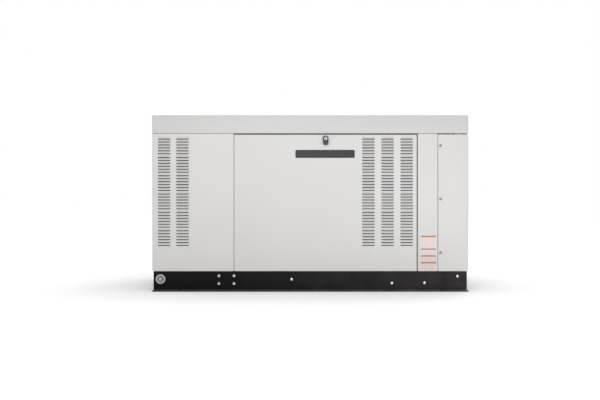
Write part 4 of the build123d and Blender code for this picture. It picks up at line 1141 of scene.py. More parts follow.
@dataclass
class SheetPanel:
    """A louvred or plain sheet panel, cut as a flat blank, pressed, folded and given its thickness.

    Attributes:
        node: the CAD node that it stands for.
        wall: the wall that it is on.
        columns: the middles of its louvre columns, along the wall.
        press: which way its louvres go.
        low_side: the fold at its low end along the wall.
        high_side: the fold at its high end.
        body: the body that it rides on.
        top_gap: how much lower than its CAD box's top it ends, as a shadow gap under the roof.
        sheet: its thickness.
        louvre: the louvre's form.
        field: the louvres' rows.
        hem: the fold along its top and its foot.
        clearance: the room between its back and the black sheet of painted shade behind it.
    """

    node: str
    wall: Wall
    columns: Sequence[float] = ()
    press: Press = Press.OUT
    low_side: Fold = Fold(3.0)
    high_side: Fold = Fold(3.0)
    body: str = "enclosure"
    top_gap: float = 0.0
    sheet: float = 1.5
    louvre: Louvre = Louvre()
    field: LouvreField = LouvreField()
    hem: Fold = Fold(1.8)
    clearance: float = 2.0

    def face(self) -> tuple[float, float, float, float, float]:
        """Where the panel's face is.

        Returns:
            Its low and high ends along the wall, its bottom and top, and its distance from the middle.
        """
        low, high = span(self.node)
        back = self.wall.turn.inverted()
        ends = sorted((back @ corner).x for corner in (low, high))
        bottom = span("front_right_post")[0].z
        roof = span("roof")[1]
        reach = roof.y if self.wall in (Wall.FRONT, Wall.REAR) else roof.x
        return ends[0], ends[1], bottom, high.z - self.top_gap, reach

    def lines(
        self, low: float, high: float, low_fold: Fold, high_fold: Fold, cuts: Iterable[float]
    ) -> list[float]:
        """All of the blank's lines one way.

        Args:
            low: where the folded sheet starts.
            high: where it ends.
            low_fold: the fold at its start.
            high_fold: the fold at its end.
            cuts: the louvres' lines between them.

        Returns:
            The lines, from the blank's low edge to its high edge.
        """
        outer = low_fold.blank(low, -1.0)[::-1] + high_fold.blank(high, 1.0)
        return sorted(set(round(line, 4) for line in outer) | set(round(cut, 4) for cut in cuts))

    def blank(self, along: Sequence[float], upward: Sequence[float]) -> bmesh.types.BMesh:
        """A flat sheet with a line of vertices at each line.

        Args:
            along: the lines along the wall.
            upward: the lines up the wall.

        Returns:
            The sheet, flat on its own plane.
        """
        mesh = bmesh.new()
        columns, rows = len(along) - 1, len(upward) - 1
        bmesh.ops.create_grid(mesh, x_segments=columns, y_segments=rows, size=0.5)
        for vert in mesh.verts:
            column, row = round((vert.co.x + 0.5) * columns), round((vert.co.y + 0.5) * rows)
            vert.co = (along[column], upward[row], 0.0)
        return mesh

    def window(self, u: float, v: float) -> tuple[float, float] | None:
        """The louvre that a point of the blank lies in.

        Args:
            u: the place along the wall.
            v: the place up the wall.

        Returns:
            Its column's and its row's line, or None between louvres.
        """
        for middle in self.columns:
            if abs(u - middle) < self.louvre.length / 2:
                for row in self.field.lines():
                    if -self.louvre.drop < v - row < self.louvre.rise:
                        return middle, row
        return None

    def in_slit(self, place: Vector) -> bool:
        """Whether a point of the blank is cut away under a louvre's lip.

        Args:
            place: the point on the flat blank.

        Returns:
            True where the sheet is cut away.
        """
        half = self.louvre.length / 2 - self.louvre.slit_end
        if all(abs(place.x - middle) > half for middle in self.columns):
            return False
        return any(0 < row - self.louvre.drop - place.y < self.louvre.slit for row in self.field.lines())

    def press_louvres(self, mesh: bmesh.types.BMesh) -> None:
        """Slits the blank under each louvre and presses the hoods up.

        Args:
            mesh: the flat blank.
        """
        lips = {round(row - self.louvre.drop, 3) for row in self.field.lines()}
        slits = []
        for edge in mesh.edges:
            first, last = edge.verts
            on_lip = first.co.y == last.co.y and round(first.co.y, 3) in lips
            middle = (first.co.x + last.co.x) / 2
            if on_lip and any(abs(middle - column) < self.louvre.length / 2 for column in self.columns):
                slits.append(edge)
        bmesh.ops.split_edges(mesh, edges=slits)
        waste = [sheet_face for sheet_face in mesh.faces if self.in_slit(sheet_face.calc_center_median())]
        bmesh.ops.delete(mesh, geom=waste, context="FACES")
        heights: dict[bmesh.types.BMVert, float] = {}
        for sheet_face in mesh.faces:
            centre = sheet_face.calc_center_median()
            window = self.window(centre.x, centre.y)
            if window is None:
                continue
            for vert in sheet_face.verts:
                from_end = self.louvre.length / 2 - abs(vert.co.x - window[0])
                from_bend = window[1] + self.louvre.rise - vert.co.y
                heights[vert] = self.louvre.relief(max(from_end, 0.0), max(from_bend, 0.0))
        for vert, height in heights.items():
            vert.co.z = height * self.press.value

    def fold(
        self, mesh: bmesh.types.BMesh, low: float, high: float, bottom: float, top: float, reach: float
    ) -> None:
        """Cuts the blank's corners away and folds its four edges back.

        Args:
            mesh: the pressed blank.
            low: the panel's low end along the wall.
            high: its high end.
            bottom: its foot.
            top: its top.
            reach: how far its face is from the enclosure's middle.
        """
        starts = (
            low + self.low_side.radius,
            high - self.high_side.radius,
            bottom + self.hem.radius,
            top - self.hem.radius,
        )
        corners = []
        for sheet_face in mesh.faces:
            centre = sheet_face.calc_center_median()
            outside_u = centre.x < starts[0] or centre.x > starts[1]
            if outside_u and (centre.y < starts[2] or centre.y > starts[3]):
                corners.append(sheet_face)
        bmesh.ops.delete(mesh, geom=corners, context="FACES")
        for vert in mesh.verts:
            u, v, out = vert.co
            back = 0.0
            if u < starts[0]:
                step, back = self.low_side.place(starts[0] - u)
                u = starts[0] - step
            elif u > starts[1]:
                step, back = self.high_side.place(u - starts[1])
                u = starts[1] + step
            if v < starts[2]:
                step, back = self.hem.place(starts[2] - v)
                v = starts[2] - step
            elif v > starts[3]:
                step, back = self.hem.place(v - starts[3])
                v = starts[3] + step
            vert.co = (u, back - reach - out, v)

    def make(self) -> Shape:
        """Makes the panel's shape.

        Returns:
            The shape, in millimetres.
        """
        low, high, bottom, top, reach = self.face()
        cuts_u = [line for column in self.columns for line in self.louvre.across(column)]
        cuts_v = [line for row in self.field.lines() for line in self.louvre.up(row)] if self.columns else []
        along = self.lines(low, high, self.low_side, self.high_side, cuts_u)
        upward = self.lines(bottom, top, self.hem, self.hem, cuts_v)
        mesh = self.blank(along, upward)
        if self.columns:
            self.press_louvres(mesh)
        self.fold(mesh, low, high, bottom, top, reach)
        mesh.normal_update()
        bmesh.ops.solidify(mesh, geom=mesh.faces[:], thickness=self.sheet)
        bmesh.ops.rotate(mesh, verts=mesh.verts, cent=(0, 0, 0), matrix=self.wall.turn)
        shape = Shape()
        shape.mesh.free()
        shape.mesh = mesh
        return shape

    def screen(self) -> bpy.types.Object:
        """Builds a black sheet behind the louvres as painted shade, so that the slits read dark.

        Returns:
            The screen.
        """
        _, _, _, _, reach = self.face()
        pressed = 0.0 if self.press is Press.OUT else self.louvre.stand
        clear = self.sheet + pressed + self.clearance
        rows, margin = self.field.lines(), self.louvre.length / 2 + 3.0
        low = (self.columns[0] - margin, clear - reach, rows[-1] - self.louvre.height - 3)
        high = (self.columns[-1] + margin, clear + 1.2 - reach, rows[0] + self.louvre.height)
        shape = Shape()
        shape.box(low, high, radius=0.3)
        bmesh.ops.rotate(shape.mesh, verts=shape.mesh.verts, cent=(0, 0, 0), matrix=self.wall.turn)
        # painted shade: the black sheet sits just behind the louvred sheet
        return shape.piece(f"{self.node}_screen", self.body, "black_plastic", [Stock.SCREEN])

    def build(self) -> bpy.types.Object:
        """Builds the panel as a piece, painted all over."""
        if self.columns:
            # first the black sheet of painted shade behind the louvres
            self.screen()
        return self.make().piece(
            f"{self.node}_sheet", self.body, "enclosure_paint", [Stock.ENCLOSURE], [self.node], smooth=40.0
        )


@dataclass
class LiftOutPanel(SheetPanel):
    """The lift-out front panel: a louvred sheet with two tongues at its foot that hook into the base.

    Attributes:
        tongues: where the tongues are.
        tongue_half: half of a tongue's width.
        tongue_back: the front and the back of a tongue.
        tongue_rise: how far up the sheet a tongue is welded on.
    """

    tongues: Sequence[float] = (-220.0, 500.0)
    tongue_half: float = 20.0
    tongue_back: tuple[float, float] = (-336.0, -333.0)
    tongue_rise: float = 12.5

    def make(self) -> Shape:
        """Makes the sheet and adds its tongues.

        Returns:
            The shape, in millimetres.
        """
        shape = super().make()
        foot = span(self.node)[0].z
        front, back = self.tongue_back
        for x in self.tongues:
            low = (x - self.tongue_half, front, foot)
            shape.box(low, (x + self.tongue_half, back, foot + self.tongue_rise), radius=0.6)
        return shape


@dataclass
class Roof:
    """The roof: a shallow tray upside down, its top creased from corner to corner so that rain runs off.

    Attributes:
        corner: the round of its four upright corners.
        brow: the round along its top edges.
        hem: how far its rim turns in below.
        sheet: its thickness.
        fall: how much lower its edges are than its middle.
    """

    corner: float = 8.0
    brow: float = 5.0
    hem: float = 12.0
    sheet: float = 2.0
    fall: float = 2.5

    def build(self) -> bpy.types.Object:
        """Builds the roof from one block, opened below.

        Returns:
            The roof.
        """
        low, high = span("roof")
        shape = Shape()
        mesh = shape.mesh
        shape.box(low, high)
        upright = [e for e in mesh.edges if abs(e.verts[0].co.z - e.verts[1].co.z) > 1]
        shape.soften(upright, self.corner, 6)
        top = max(mesh.faces, key=lambda f: f.calc_center_median().z)
        shape.soften(list(top.edges), self.brow, 5)
        top = max(mesh.faces, key=lambda f: f.calc_center_median().z)
        crown = bmesh.ops.poke(mesh, faces=[top])["verts"]
        for vert in mesh.verts:
            if vert.co.z > high.z - self.brow - 0.01 and vert not in crown:
                share = min(1.0, (vert.co.z - high.z + self.brow) / self.brow)
                vert.co.z -= self.fall * share
        floor = min(mesh.faces, key=lambda f: f.calc_center_median().z)
        bmesh.ops.inset_region(mesh, faces=[floor], thickness=self.hem, depth=0.0)
        bmesh.ops.delete(mesh, geom=[floor], context="FACES")
        # the roof's finish is the enclosure paint darkened as painted shade
        roof = shape.piece("roof_sheet", "enclosure", "enclosure_paint", [Stock.ROOF], ["roof"])
        wall = roof.modifiers.new("sheet_thickness", "SOLIDIFY")
        wall.thickness, wall.offset, wall.use_even_offset = self.sheet * MM, -1.0, True
        return roof


@dataclass
class Enclosure:
    """The painted enclosure's panels and roof.

    Attributes:
        left_columns: the middles of the louvre columns on the left front panel.
        access_columns: those on the lift-out panel.
        end_columns: those on each end panel.
        corner: the fold that wraps round each corner.
        shadow_gap: the gap over the right front panel.
    """

    left_columns: Sequence[float] = (-729.5, -637.5)
    access_columns: Sequence[float] = (290.5, 386.0, 481.5)
    end_columns: Sequence[float] = (-191.0, -95.5, 0.0, 95.5, 191.0)
    corner: Fold = Fold(8.0)
    shadow_gap: float = 3.5

    def panels(self) -> list[SheetPanel]:
        """Every panel of the enclosure.

        Returns:
            The panels, in the order that they are built.
        """
        rear_left = [-x for x in reversed(self.left_columns)]
        rear_centre = [-x for x in self.access_columns]
        ends = {"columns": self.end_columns, "press": Press.IN}
        return [
            SheetPanel("left_front_panel", Wall.FRONT, self.left_columns, low_side=self.corner),
            SheetPanel("front_right_post", Wall.FRONT),
            SheetPanel("right_front_panel", Wall.FRONT, high_side=self.corner, top_gap=self.shadow_gap),
            SheetPanel("rear_left_panel", Wall.REAR, rear_left, high_side=self.corner),
            SheetPanel("rear_center_panel", Wall.REAR, rear_centre),
            SheetPanel("rear_right_panel", Wall.REAR, low_side=self.corner),
            SheetPanel("left_end_panel", Wall.LEFT, **ends),
            SheetPanel("right_end_panel", Wall.RIGHT, **ends),
            LiftOutPanel("front_panel", Wall.FRONT, self.access_columns, body="front_panel", hem=Fold(3.0)),
        ]

    def build(self) -> None:
        """Builds the panels and the roof."""
        for panel in self.panels():
            panel.build()
        Roof().build()


@dataclass
class PostLabels:
    """Four blank film labels down the post, each with an amber band along its top.

    Attributes:
        rows: each label's bottom and top.
        corner: the round of a label's corners.
        band: a band's height.
        tall: the least height of a label whose band is drawn taller.
        tall_band: how many times taller that band is.
    """

    rows: Sequence[tuple[float, float]] = ((215.0, 276.0), (183.0, 212.0), (148.0, 178.0), (110.0, 144.0))
    corner: float = 2.0
    band: float = 6.5
    tall: float = 40.0
    tall_band: float = 1.25

    def build(self) -> bpy.types.Object:
        """Builds the labels one by one, as a single piece.

        Returns:
            The labels.
        """
        low, high = span("label_plates")
        shape = Shape()
        for bottom, top in self.rows:
            before = set(shape.mesh.verts)
            shape.box((low.x, low.y, bottom), (high.x, high.y, top))
            verts = [vert for vert in shape.mesh.verts if vert not in before]
            edges = {edge for vert in verts for edge in vert.link_edges}
            shape.soften(shape.through(0.3, edges), self.corner, 3)
            fresh = [vert for vert in shape.mesh.verts if vert not in before]
            geometry = fresh + list({edge for vert in fresh for edge in vert.link_edges})
            geometry += list({face for vert in fresh for face in vert.link_faces})
            line = top - self.band * (self.tall_band if top - bottom > self.tall else 1.0)
            bmesh.ops.bisect_plane(
                shape.mesh, geom=geometry, dist=0.001, plane_co=(0, 0, line), plane_no=(0, 0, 1)
            )
            for face in shape.mesh.faces:
                centre = face.calc_center_median()
                if line < centre.z < top + 1 and set(face.verts).isdisjoint(before):
                    face.material_index = 1
        stock = [Stock.LABEL, Stock.LABEL_BAND]
        return shape.piece("post_labels", "enclosure", "label_film", stock, ["label_plates"])


@dataclass
class Nameplate:
    """The blank nameplate: a charcoal field inside a thin bright rim.

    Attributes:
        corner: the round of its corners.
        rim: the bright rim's width.
        slope: the width of the step down to the field.
        sunk: how deep the field lies.
    """

    corner: float = 7.9
    rim: float = 1.6
    slope: float = 0.5
    sunk: float = 0.4

    def build(self) -> bpy.types.Object:
        """Builds the plate, with its field let in.

        Returns:
            The plate.
        """
        low, high = span("nameplate")
        shape = Shape()
        shape.box(low, high, finish=1)
        shape.soften(shape.through(0.3), self.corner, 6)
        bmesh.ops.inset_region(shape.mesh, faces=[shape.front()], thickness=self.rim, depth=0.0)
        bmesh.ops.inset_region(shape.mesh, faces=[shape.front()], thickness=self.slope, depth=-self.sunk)
        shape.paint(shape.mesh.faces, 1)
        shape.paint([shape.widest_front(0.9)], 0)
        stock = [Stock.PLATE, Stock.PLATE_RIM]
        return shape.piece("blank_nameplate", "front_panel", "nameplate", stock, ["nameplate"])


# ---------------------------------------------------------------- latch
@dataclass
class Latch:
    """The panel's quarter-turn latch: bezel, drop handle and keyed cylinder.

    Attributes:
        x: its axis along the panel.
        z: its axis's height.
        key_radius: the keyed cylinder's radius.
        skin: how far back the panel's face is.
        bore: the bezel's hole for the spindle.
        neck: the bezel's threaded neck, as a radius.
        nut: the clamping nut's radius.
        spindle: the spindle's radius.
        corner: the round of the handle's ends.
        rim: the width of the handle's edge round its finger hollow.
    """

    x: float = 77.0
    z: float = 761.0
    key_radius: float = 8.5
    skin: float = -350.0
    bore: float = 5.2
    neck: float = 8.7
    nut: float = 13.0
    spindle: float = 5.0
    corner: float = 12.6
    rim: float = 2.0

    def bezel(self) -> bpy.types.Object:
        """The round body, clamped through the panel.

        Returns:
            The bezel.
        """
        low, high = span("latch_body")
        radius = (high.x - low.x) / 2
        seat, tail = self.skin - low.y, high.y - low.y
        outline = (
            *((self.bore, 0.0), (radius - 2.2, 0.0), (radius - 0.7, 0.5), (radius, 1.8)),
            *((radius, seat), (self.neck, seat), (self.neck, seat + 1.6), (self.nut, seat + 1.6)),
            *((self.nut, seat + 6.0), (self.neck, seat + 6.0), (self.neck, tail), (self.bore, tail)),
            (self.bore, 0.0),
        )
        shape = Shape()
        shape.turned(outline, (self.x, low.y, self.z), (0, 1, 0), 40)
        return shape.piece("latch_bezel", "front_panel", "latch_black", [Stock.LATCH], ["latch_body"])

    def handle(self) -> bpy.types.Object:
        """The drop handle with its finger hollow, and the bright cylinder, with a black strip on its face as
        the keyway's painted shade.

        Returns:
            The handle.
        """
        low, high = span("latch_handle")
        face, back = low.y + 2.5, low.y + 14.5
        shape = Shape()
        shape.box((low.x, face, low.z), (high.x, back, high.z))
        shape.soften(shape.through(1.0), self.corner, 10)
        shape.soften(list(shape.front().edges), 1.5, 3)
        bmesh.ops.inset_region(shape.mesh, faces=[shape.front()], thickness=self.rim, depth=0.0)
        bmesh.ops.inset_region(shape.mesh, faces=[shape.widest_front()], thickness=0.8, depth=-1.0)
        key = self.key_radius
        rim = ((key - 2.2, 0.5), (key - 1.0, 0.5), (key, 1.2))
        collar = ((0, 0), (key - 2.6, 0), *rim, (key, 6.0), (0, 6.0))
        shape.turned(collar, (self.x, low.y, self.z), (0, 1, 0), 32, finish=1)
        # painted shade: a thin black block on the cylinder's face stands for the dark keyway slot
        keyway_shade = ((self.x - 0.9, low.y - 0.02, self.z - 4), (self.x + 0.9, low.y + 1.0, self.z + 4))
        shape.box(*keyway_shade, finish=2)
        tail = (self.x, high.y, self.z)
        shape.rod((self.x, back - 1, self.z), tail, self.spindle, 24, edge=0.6, finish=1)
        stock = [Stock.LATCH, Stock.CHROME, Stock.BLACK_PLASTIC]
        return shape.piece("latch_drop_handle", "latch", "latch_black", stock, ["latch_handle"])

    def build(self) -> None:
        """Builds the latch."""
        self.bezel()
        self.handle()


# ---------------------------------------------------------------- base
@dataclass
class Base:
    """What is bolted to the base rails.

    Attributes:
        bolts: where each hex bolt is along the rail, and its height.
        web: how far the rails' webs are from the middle.
        plug: where the round plug is along the rail, and its height.
        head: a bolt head's radius across its corners.
        head_top: how far a head stands off its web.
        flange: how thick the flange under a head is.
        screws: where the two small screws are along the rail.
        screw_line: their height.
        boss: half the side of the plug's square boss.
        dimples: how far the plug's four dimples are from its middle.
    """

    bolts: Sequence[tuple[float, float]] = (
        (-456.0, 36.0),
        (-456.0, 75.0),
        (-380.5, 36.0),
        (-380.5, 75.0),
        (-93.0, 58.0),
        (407.0, 38.0),
        (570.0, 40.0),
        (735.0, 73.0),
    )
    web: float = 344.0
    plug: tuple[float, float] = (-748.0, 59.0)
    head: float = 7.5
    head_top: float = 7.4
    flange: float = 1.6
    screws: tuple[float, float] = (-664.0, -536.0)
    screw_line: float = 82.0
    boss: float = 7.0
    dimples: float = 11.4

    def hex_bolt(self, shape: Shape, x: float, z: float, side: float) -> None:
        """Adds a flanged hex bolt: a sloped flange, a head with a dished top, and its shank.

        Args:
            shape: the shape that it joins.
            x: where it is along the rail.
            z: its height.
            side: -1 for the front rail, 1 for the rear one.
        """
        face = side * self.web
        flange = ((0, -18), (5.0, -18), (5.0, 0), (10.5, 0), (10.5, 0.7), (8.4, 1.8), (0, 1.8))
        shape.turned(flange, (x, face, z), (0, side, 0), 24, finish=1)
        top = face + side * self.head_top
        shape.rod((x, face + side * self.flange, z), (x, top, z), self.head, 6, edge=0.7)
        shape.turned(((0, 0), (4.9, 0), (5.6, -0.4), (0, -0.6)), (x, top + side * 0.02, z), (0, side, 0), 18)

    def fasteners(self) -> bpy.types.Object:
        """Every bolt, front and rear.

        Returns:
            The bolts, as one piece.
        """
        shape = Shape()
        for x, z in self.bolts:
            for side in (-1.0, 1.0):
                self.hex_bolt(shape, x, z, side)
        stock = [Stock.ZINC, Stock.CHASSIS]
        return shape.piece("base_hex_bolts", "enclosure", "zinc_hardware", stock, ["base_bolts"])

    def small_screws(self) -> bpy.types.Object:
        """Two small pan-head screws near the top of the front rail, which hold the earth strap inside.

        Returns:
            The screws, as one piece.
        """
        shape = Shape()
        dome = ((0, 0), (3.6, 0), (3.6, 1.0), (2.8, 1.9), (1.2, 2.3), (0, 2.3))
        for x in self.screws:
            shape.turned(dome, (x, -self.web, self.screw_line), (0, -1, 0), 16)
        return shape.piece("rail_earth_screws", "enclosure", "zinc_hardware", [Stock.DARK_STEEL])

    def hole_plug(self) -> bpy.types.Object:
        """The round plug: a domed rim, a dished face, and a square boss for a wrench.

        Returns:
            The plug.
        """
        x, z = self.plug
        low, high = span("base_plug")
        radius = (high.x - low.x) / 2
        rim = -self.web - 5.0
        outline = (
            *((0, 3.0), (14.0, 3.0), (15.6, 2.6), (17.0, 0.4), (18.4, 0.0), (radius - 1.6, 0.0)),
            *((radius - 0.4, 0.7), (radius, 2.0), (radius, 5.0), (18.6, 5.0)),
            *((18.6, high.y - rim), (0, high.y - rim)),
        )
        shape = Shape()
        shape.turned(outline, (x, rim, z), (0, 1, 0), 40)
        # the dished face takes the darker plug finish
        for face in shape.mesh.faces:
            centre = face.calc_center_median()
            dish = math.hypot(centre.x - x, centre.z - z) < 17.0 and centre.y < rim + 3.5
            face.material_index = int(dish)
        boss = self.boss
        shape.box((x - boss, rim - 4.0, z - boss), (x + boss, rim + 3.2, z + boss), radius=1.2)
        for quarter in range(4):
            angle = math.radians(45 + 90 * quarter)
            middle = (x + self.dimples * math.cos(angle), rim + 2.6, z + self.dimples * math.sin(angle))
            shape.turned(((0, 0), (1.5, 0), (1.5, 0.6), (0, 0.6)), middle, (0, 1, 0), 10)
        stock = [Stock.PLUG, Stock.PLUG_DISH]
        return shape.piece("base_hole_plug", "enclosure", "cabinet_grey", stock, ["base_plug"])

    def build(self) -> None:
        """Builds what is on the rails."""
        self.fasteners()
        self.small_screws()
        self.hole_plug()


# ---------------------------------------------------------------- acoustic pad
@dataclass
class AcousticPad:
    """The foam pad behind the lift-out panel: an egg-crate face, pressed thin along its edge.

    Attributes:
        pitch: from crest to crest.
        wave: from crest to hollow.
        edge: how wide the pressed edge is.
        pinch: how much thinner the pad is at its very edge.
        inset: how far the foam stays inside its CAD box, front and back.
        cell: the mesh's spacing.
    """

    pitch: float = 38.0
    wave: float = 7.5
    edge: float = 22.0
    pinch: float = 10.0
    inset: float = 0.3
    cell: float = 6.5

    def relief(self, x: float, z: float, from_edge: float) -> float:
        """How far the foam's face is set back from its crests.

        Args:
            x: the place along the pad.
            z: the place up the pad.
            from_edge: the distance to the pad's nearest edge.

        Returns:
            The depth below the crests.
        """
        egg = math.sin(math.tau * x / self.pitch) * math.sin(math.tau * z / self.pitch)
        near = max(0.0, 1 - from_edge / self.edge)
        return self.wave * (1 - egg) / 2 * (1 - near) + self.pinch * near**2

    def build(self) -> bpy.types.Object:
        """Builds the pad from a fine slab whose inner face is pushed into crests and hollows.

        Returns:
            The pad.
        """
        low, high = span("front_panel_insulation")
        columns, rows = round((high.x - low.x) / self.cell), round((high.z - low.z) / self.cell)
        shape = Shape()
        middle = Matrix.Translation(((low.x + high.x) / 2, 0, (low.z + high.z) / 2))
        upright = Matrix.Rotation(math.radians(-90), 4, "X")
        stretch = Matrix.Diagonal((high.x - low.x, high.z - low.z, 1.0, 1.0))
        lay = middle @ upright @ stretch
        bmesh.ops.create_grid(shape.mesh, x_segments=columns, y_segments=rows, size=0.5, matrix=lay)
        for vert in shape.mesh.verts:
            x, z = vert.co.x, vert.co.z
            from_edge = min(x - low.x, high.x - x, z - low.z, high.z - z)
            vert.co.y = high.y - self.inset - self.relief(x, z, from_edge)
        rim = [edge for edge in shape.mesh.edges if edge.is_boundary]
        walls = bmesh.ops.extrude_edge_only(shape.mesh, edges=rim)["geom"]
        back = [vert for vert in walls if isinstance(vert, bmesh.types.BMVert)]
        for vert in back:
            vert.co.y = low.y + self.inset
        outline = [edge for edge in walls if isinstance(edge, bmesh.types.BMEdge) and edge.is_boundary]
        bmesh.ops.contextual_create(shape.mesh, geom=outline)
        bmesh.ops.recalc_face_normals(shape.mesh, faces=shape.mesh.faces)
        pad = shape.piece(
            "egg_crate_pad",
            "front_panel",
            "acoustic_foam",
            [Stock.FOAM],
            ["front_panel_insulation"],
            smooth=60.0,
        )
        return pad


# ---------------------------------------------------------------- engine bay
@dataclass
class EngineBay:
    """The engine, alternator, cooling and controls: the CAD pieces that are kept and given their finishes."""

    dressing: dict[Stock, Sequence[str]] = field(
        default_factory=lambda: {
            Stock.CHASSIS: ("base_front_rail", "base_rear_rail", "base_crossmembers", "battery_tray"),
            Stock.FRAME: ("base_floor_pan", "inner_frame"),
            Stock.ZINC: ("latch_cam", "fuel_inlet_pipe"),
            Stock.SCREW: ("panel_screws",),
            Stock.IRON: ("engine_block", "exhaust_manifold"),
            Stock.ALUMINIUM: ("cylinder_head", "intake_manifold", "fuel_regulator")
            + ("charge_alternator", "starter_motor"),
            Stock.STEEL: ("crankshaft", "charge_pulley"),
            Stock.DARK_STEEL: ("oil_pan", "radiator_frame"),
            Stock.EXHAUST: ("muffler",),
            Stock.RUBBER: ("rubber_hoses", "rubber_mounts", "battery_cables", "fan_belt"),
            Stock.BLACK_PLASTIC: ("valve_cover", "air_cleaner", "battery", "main_breaker")
            + ("breaker_lever", "mode_switch", "fan", "oil_filler_cap"),
            Stock.MILKY: ("overflow_bottle",),
            Stock.FILTER: ("oil_filter",),
            Stock.GENERATOR: ("alternator_housing",),
            Stock.COPPER: ("alternator_rotor",),
            Stock.FINS: ("radiator_core", "radiator_cap"),
            Stock.RED: ("e_stop",),
            Stock.DIPSTICK: ("dipstick",),
            Stock.CABINET: ("control_cabinet", "control_fascia"),
        }
    )

    def build(self) -> None:
        """Gives every CAD piece that shows its finish."""
        for stock, names in self.dressing.items():
            for name in names:
                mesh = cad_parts[name].data
                mesh.materials.clear()
                mesh.materials.append(stock.value.material())
                log.info("%s: %s", name, stock.value.name)


# ---------------------------------------------------------------- fittings
@dataclass(frozen=True)
class PanHead:
    """A pan-head screw's head with a square recess.

    Attributes:
        radius: the head's radius.
        outline: the half outline, as shares of the radius.
    """

    radius: float
    outline: Sequence[tuple[float, float]] = (
        *((0, 0), (1, 0), (1, 0.22), (0.8, 0.48)),
        *((0.45, 0.6), (0.25, 0.6), (0.22, 0.3), (0, 0.3)),
    )

    def add(self, shape: Shape, place: Point, way: Point) -> None:
        """Adds the head.

        Args:
            shape: the shape that it joins.
            place: where the head meets its panel.
            way: the direction that it faces.
        """
        shape.turned([(self.radius * r, self.radius * a) for r, a in self.outline], place, way, 18)


@dataclass(frozen=True)
class HexHead:
    """A hex head on its washer.

    Attributes:
        radius: the head's radius across its corners.
        washer: the washer's radius, as a share of the head's.
        height: the head's height, as a share of its radius.
        seat: how far off its seat the head starts.
    """

    radius: float
    washer: float = 1.35
    height: float = 0.7
    seat: float = 1.5

    def add(self, shape: Shape, place: Point, way: Point) -> None:
        """Adds the head.

        Args:
            shape: the shape that it joins.
            place: where the washer meets its seat.
            way: the direction that it faces.
        """
        wide = self.radius * self.washer
        disc = ((0, 0), (wide, 0), (wide, 1.2), (self.radius, 1.6), (0, 1.6))
        shape.turned(disc, place, way, 20)
        foot = Vector(place) + Vector(way) * self.seat
        tip = Vector(place) + Vector(way) * (self.seat + self.radius * self.height)
        shape.rod(foot, tip, self.radius, 6, edge=0.08 * self.radius)


@dataclass
class ControlPanel:
    """What is on the control cabinet's fascia: display window, keys, lamps and screws.

    Attributes:
        window: the display window's low and high ends and its bottom and top.
        keys: the middles of the keys.
        key_half: half of a key's width.
        key_rows: the keys' bottom and top.
        key_stand: how far a key stands out.
        lamps: the lamps' heights.
        lamp_line: where they are along the fascia.
        screw: the fascia screws' head.
        screw_seat: how far the fascia's flange is behind its foremost point.
    """

    window: tuple[float, float, float, float] = (-311.0, -215.0, 681.0, 737.0)
    keys: Sequence[float] = (-304.0, -262.0, -220.0)
    key_half: float = 10.5
    key_rows: tuple[float, float] = (637.5, 650.5)
    key_stand: float = 3.6
    lamps: Sequence[float] = (728.0, 708.0, 688.0)
    lamp_line: float = -190.0
    screw: PanHead = PanHead(4.0)
    screw_seat: float = 15.7

    def display(self, front: float) -> None:
        """Adds the display window, let into the fascia.

        Args:
            front: where the fascia's face is.
        """
        left, right, bottom, top = self.window
        shape = Shape()
        shape.box((left, front + 2.0, bottom), (right, front + 4.6, top), radius=0.8)
        shape.piece("display_window", "enclosure", "clear_plastic", [Stock.GLASS])

    def key_row(self, front: float) -> None:
        """Adds the row of keys below the window.

        Args:
            front: where the fascia's face is.
        """
        shape = Shape()
        bottom, top = self.key_rows
        for x in self.keys:
            low = (x - self.key_half, front - self.key_stand, bottom)
            shape.box(low, (x + self.key_half, front, top), radius=1.4, steps=3)
        shape.piece("panel_keys", "enclosure", "black_plastic", [Stock.BLACK_PLASTIC])

    def lamp_column(self, front: float) -> None:
        """Adds the lamps, each a domed lens in a black collar.

        Args:
            front: where the fascia's face is.
        """
        shape = Shape()
        lens = ((0, 0), (1.6, 0.2), (3.2, 1.1), (4.0, 2.6), (4.0, 4.4), (0, 4.4))
        collar = ((4.1, 2.4), (5.8, 2.4), (6.2, 3.0), (6.2, 4.4), (4.1, 4.4), (4.1, 2.4))
        for z in self.lamps:
            tip = (self.lamp_line, front - 4.2, z)
            shape.turned(lens, tip, (0, 1, 0), 20)
            shape.turned(collar, tip, (0, 1, 0), 20, finish=1)
        shape.piece("panel_lamps", "enclosure", "clear_plastic", [Stock.LAMP, Stock.BLACK_PLASTIC])

    def build(self) -> None:
        """Builds what is on the fascia."""
        low, high = span("control_fascia")
        front = low.y + 1.0
        self.display(front)
        self.key_row(front)
        self.lamp_column(front)
        shape = Shape()
        for x in (low.x + 10, high.x - 10):
            for z in (low.z + 12, (low.z + high.z) / 2, high.z - 12):
                self.screw.add(shape, (x, low.y + self.screw_seat, z), (0, -1, 0))
        shape.piece("fascia_screws", "enclosure", "zinc_hardware", [Stock.ZINC])


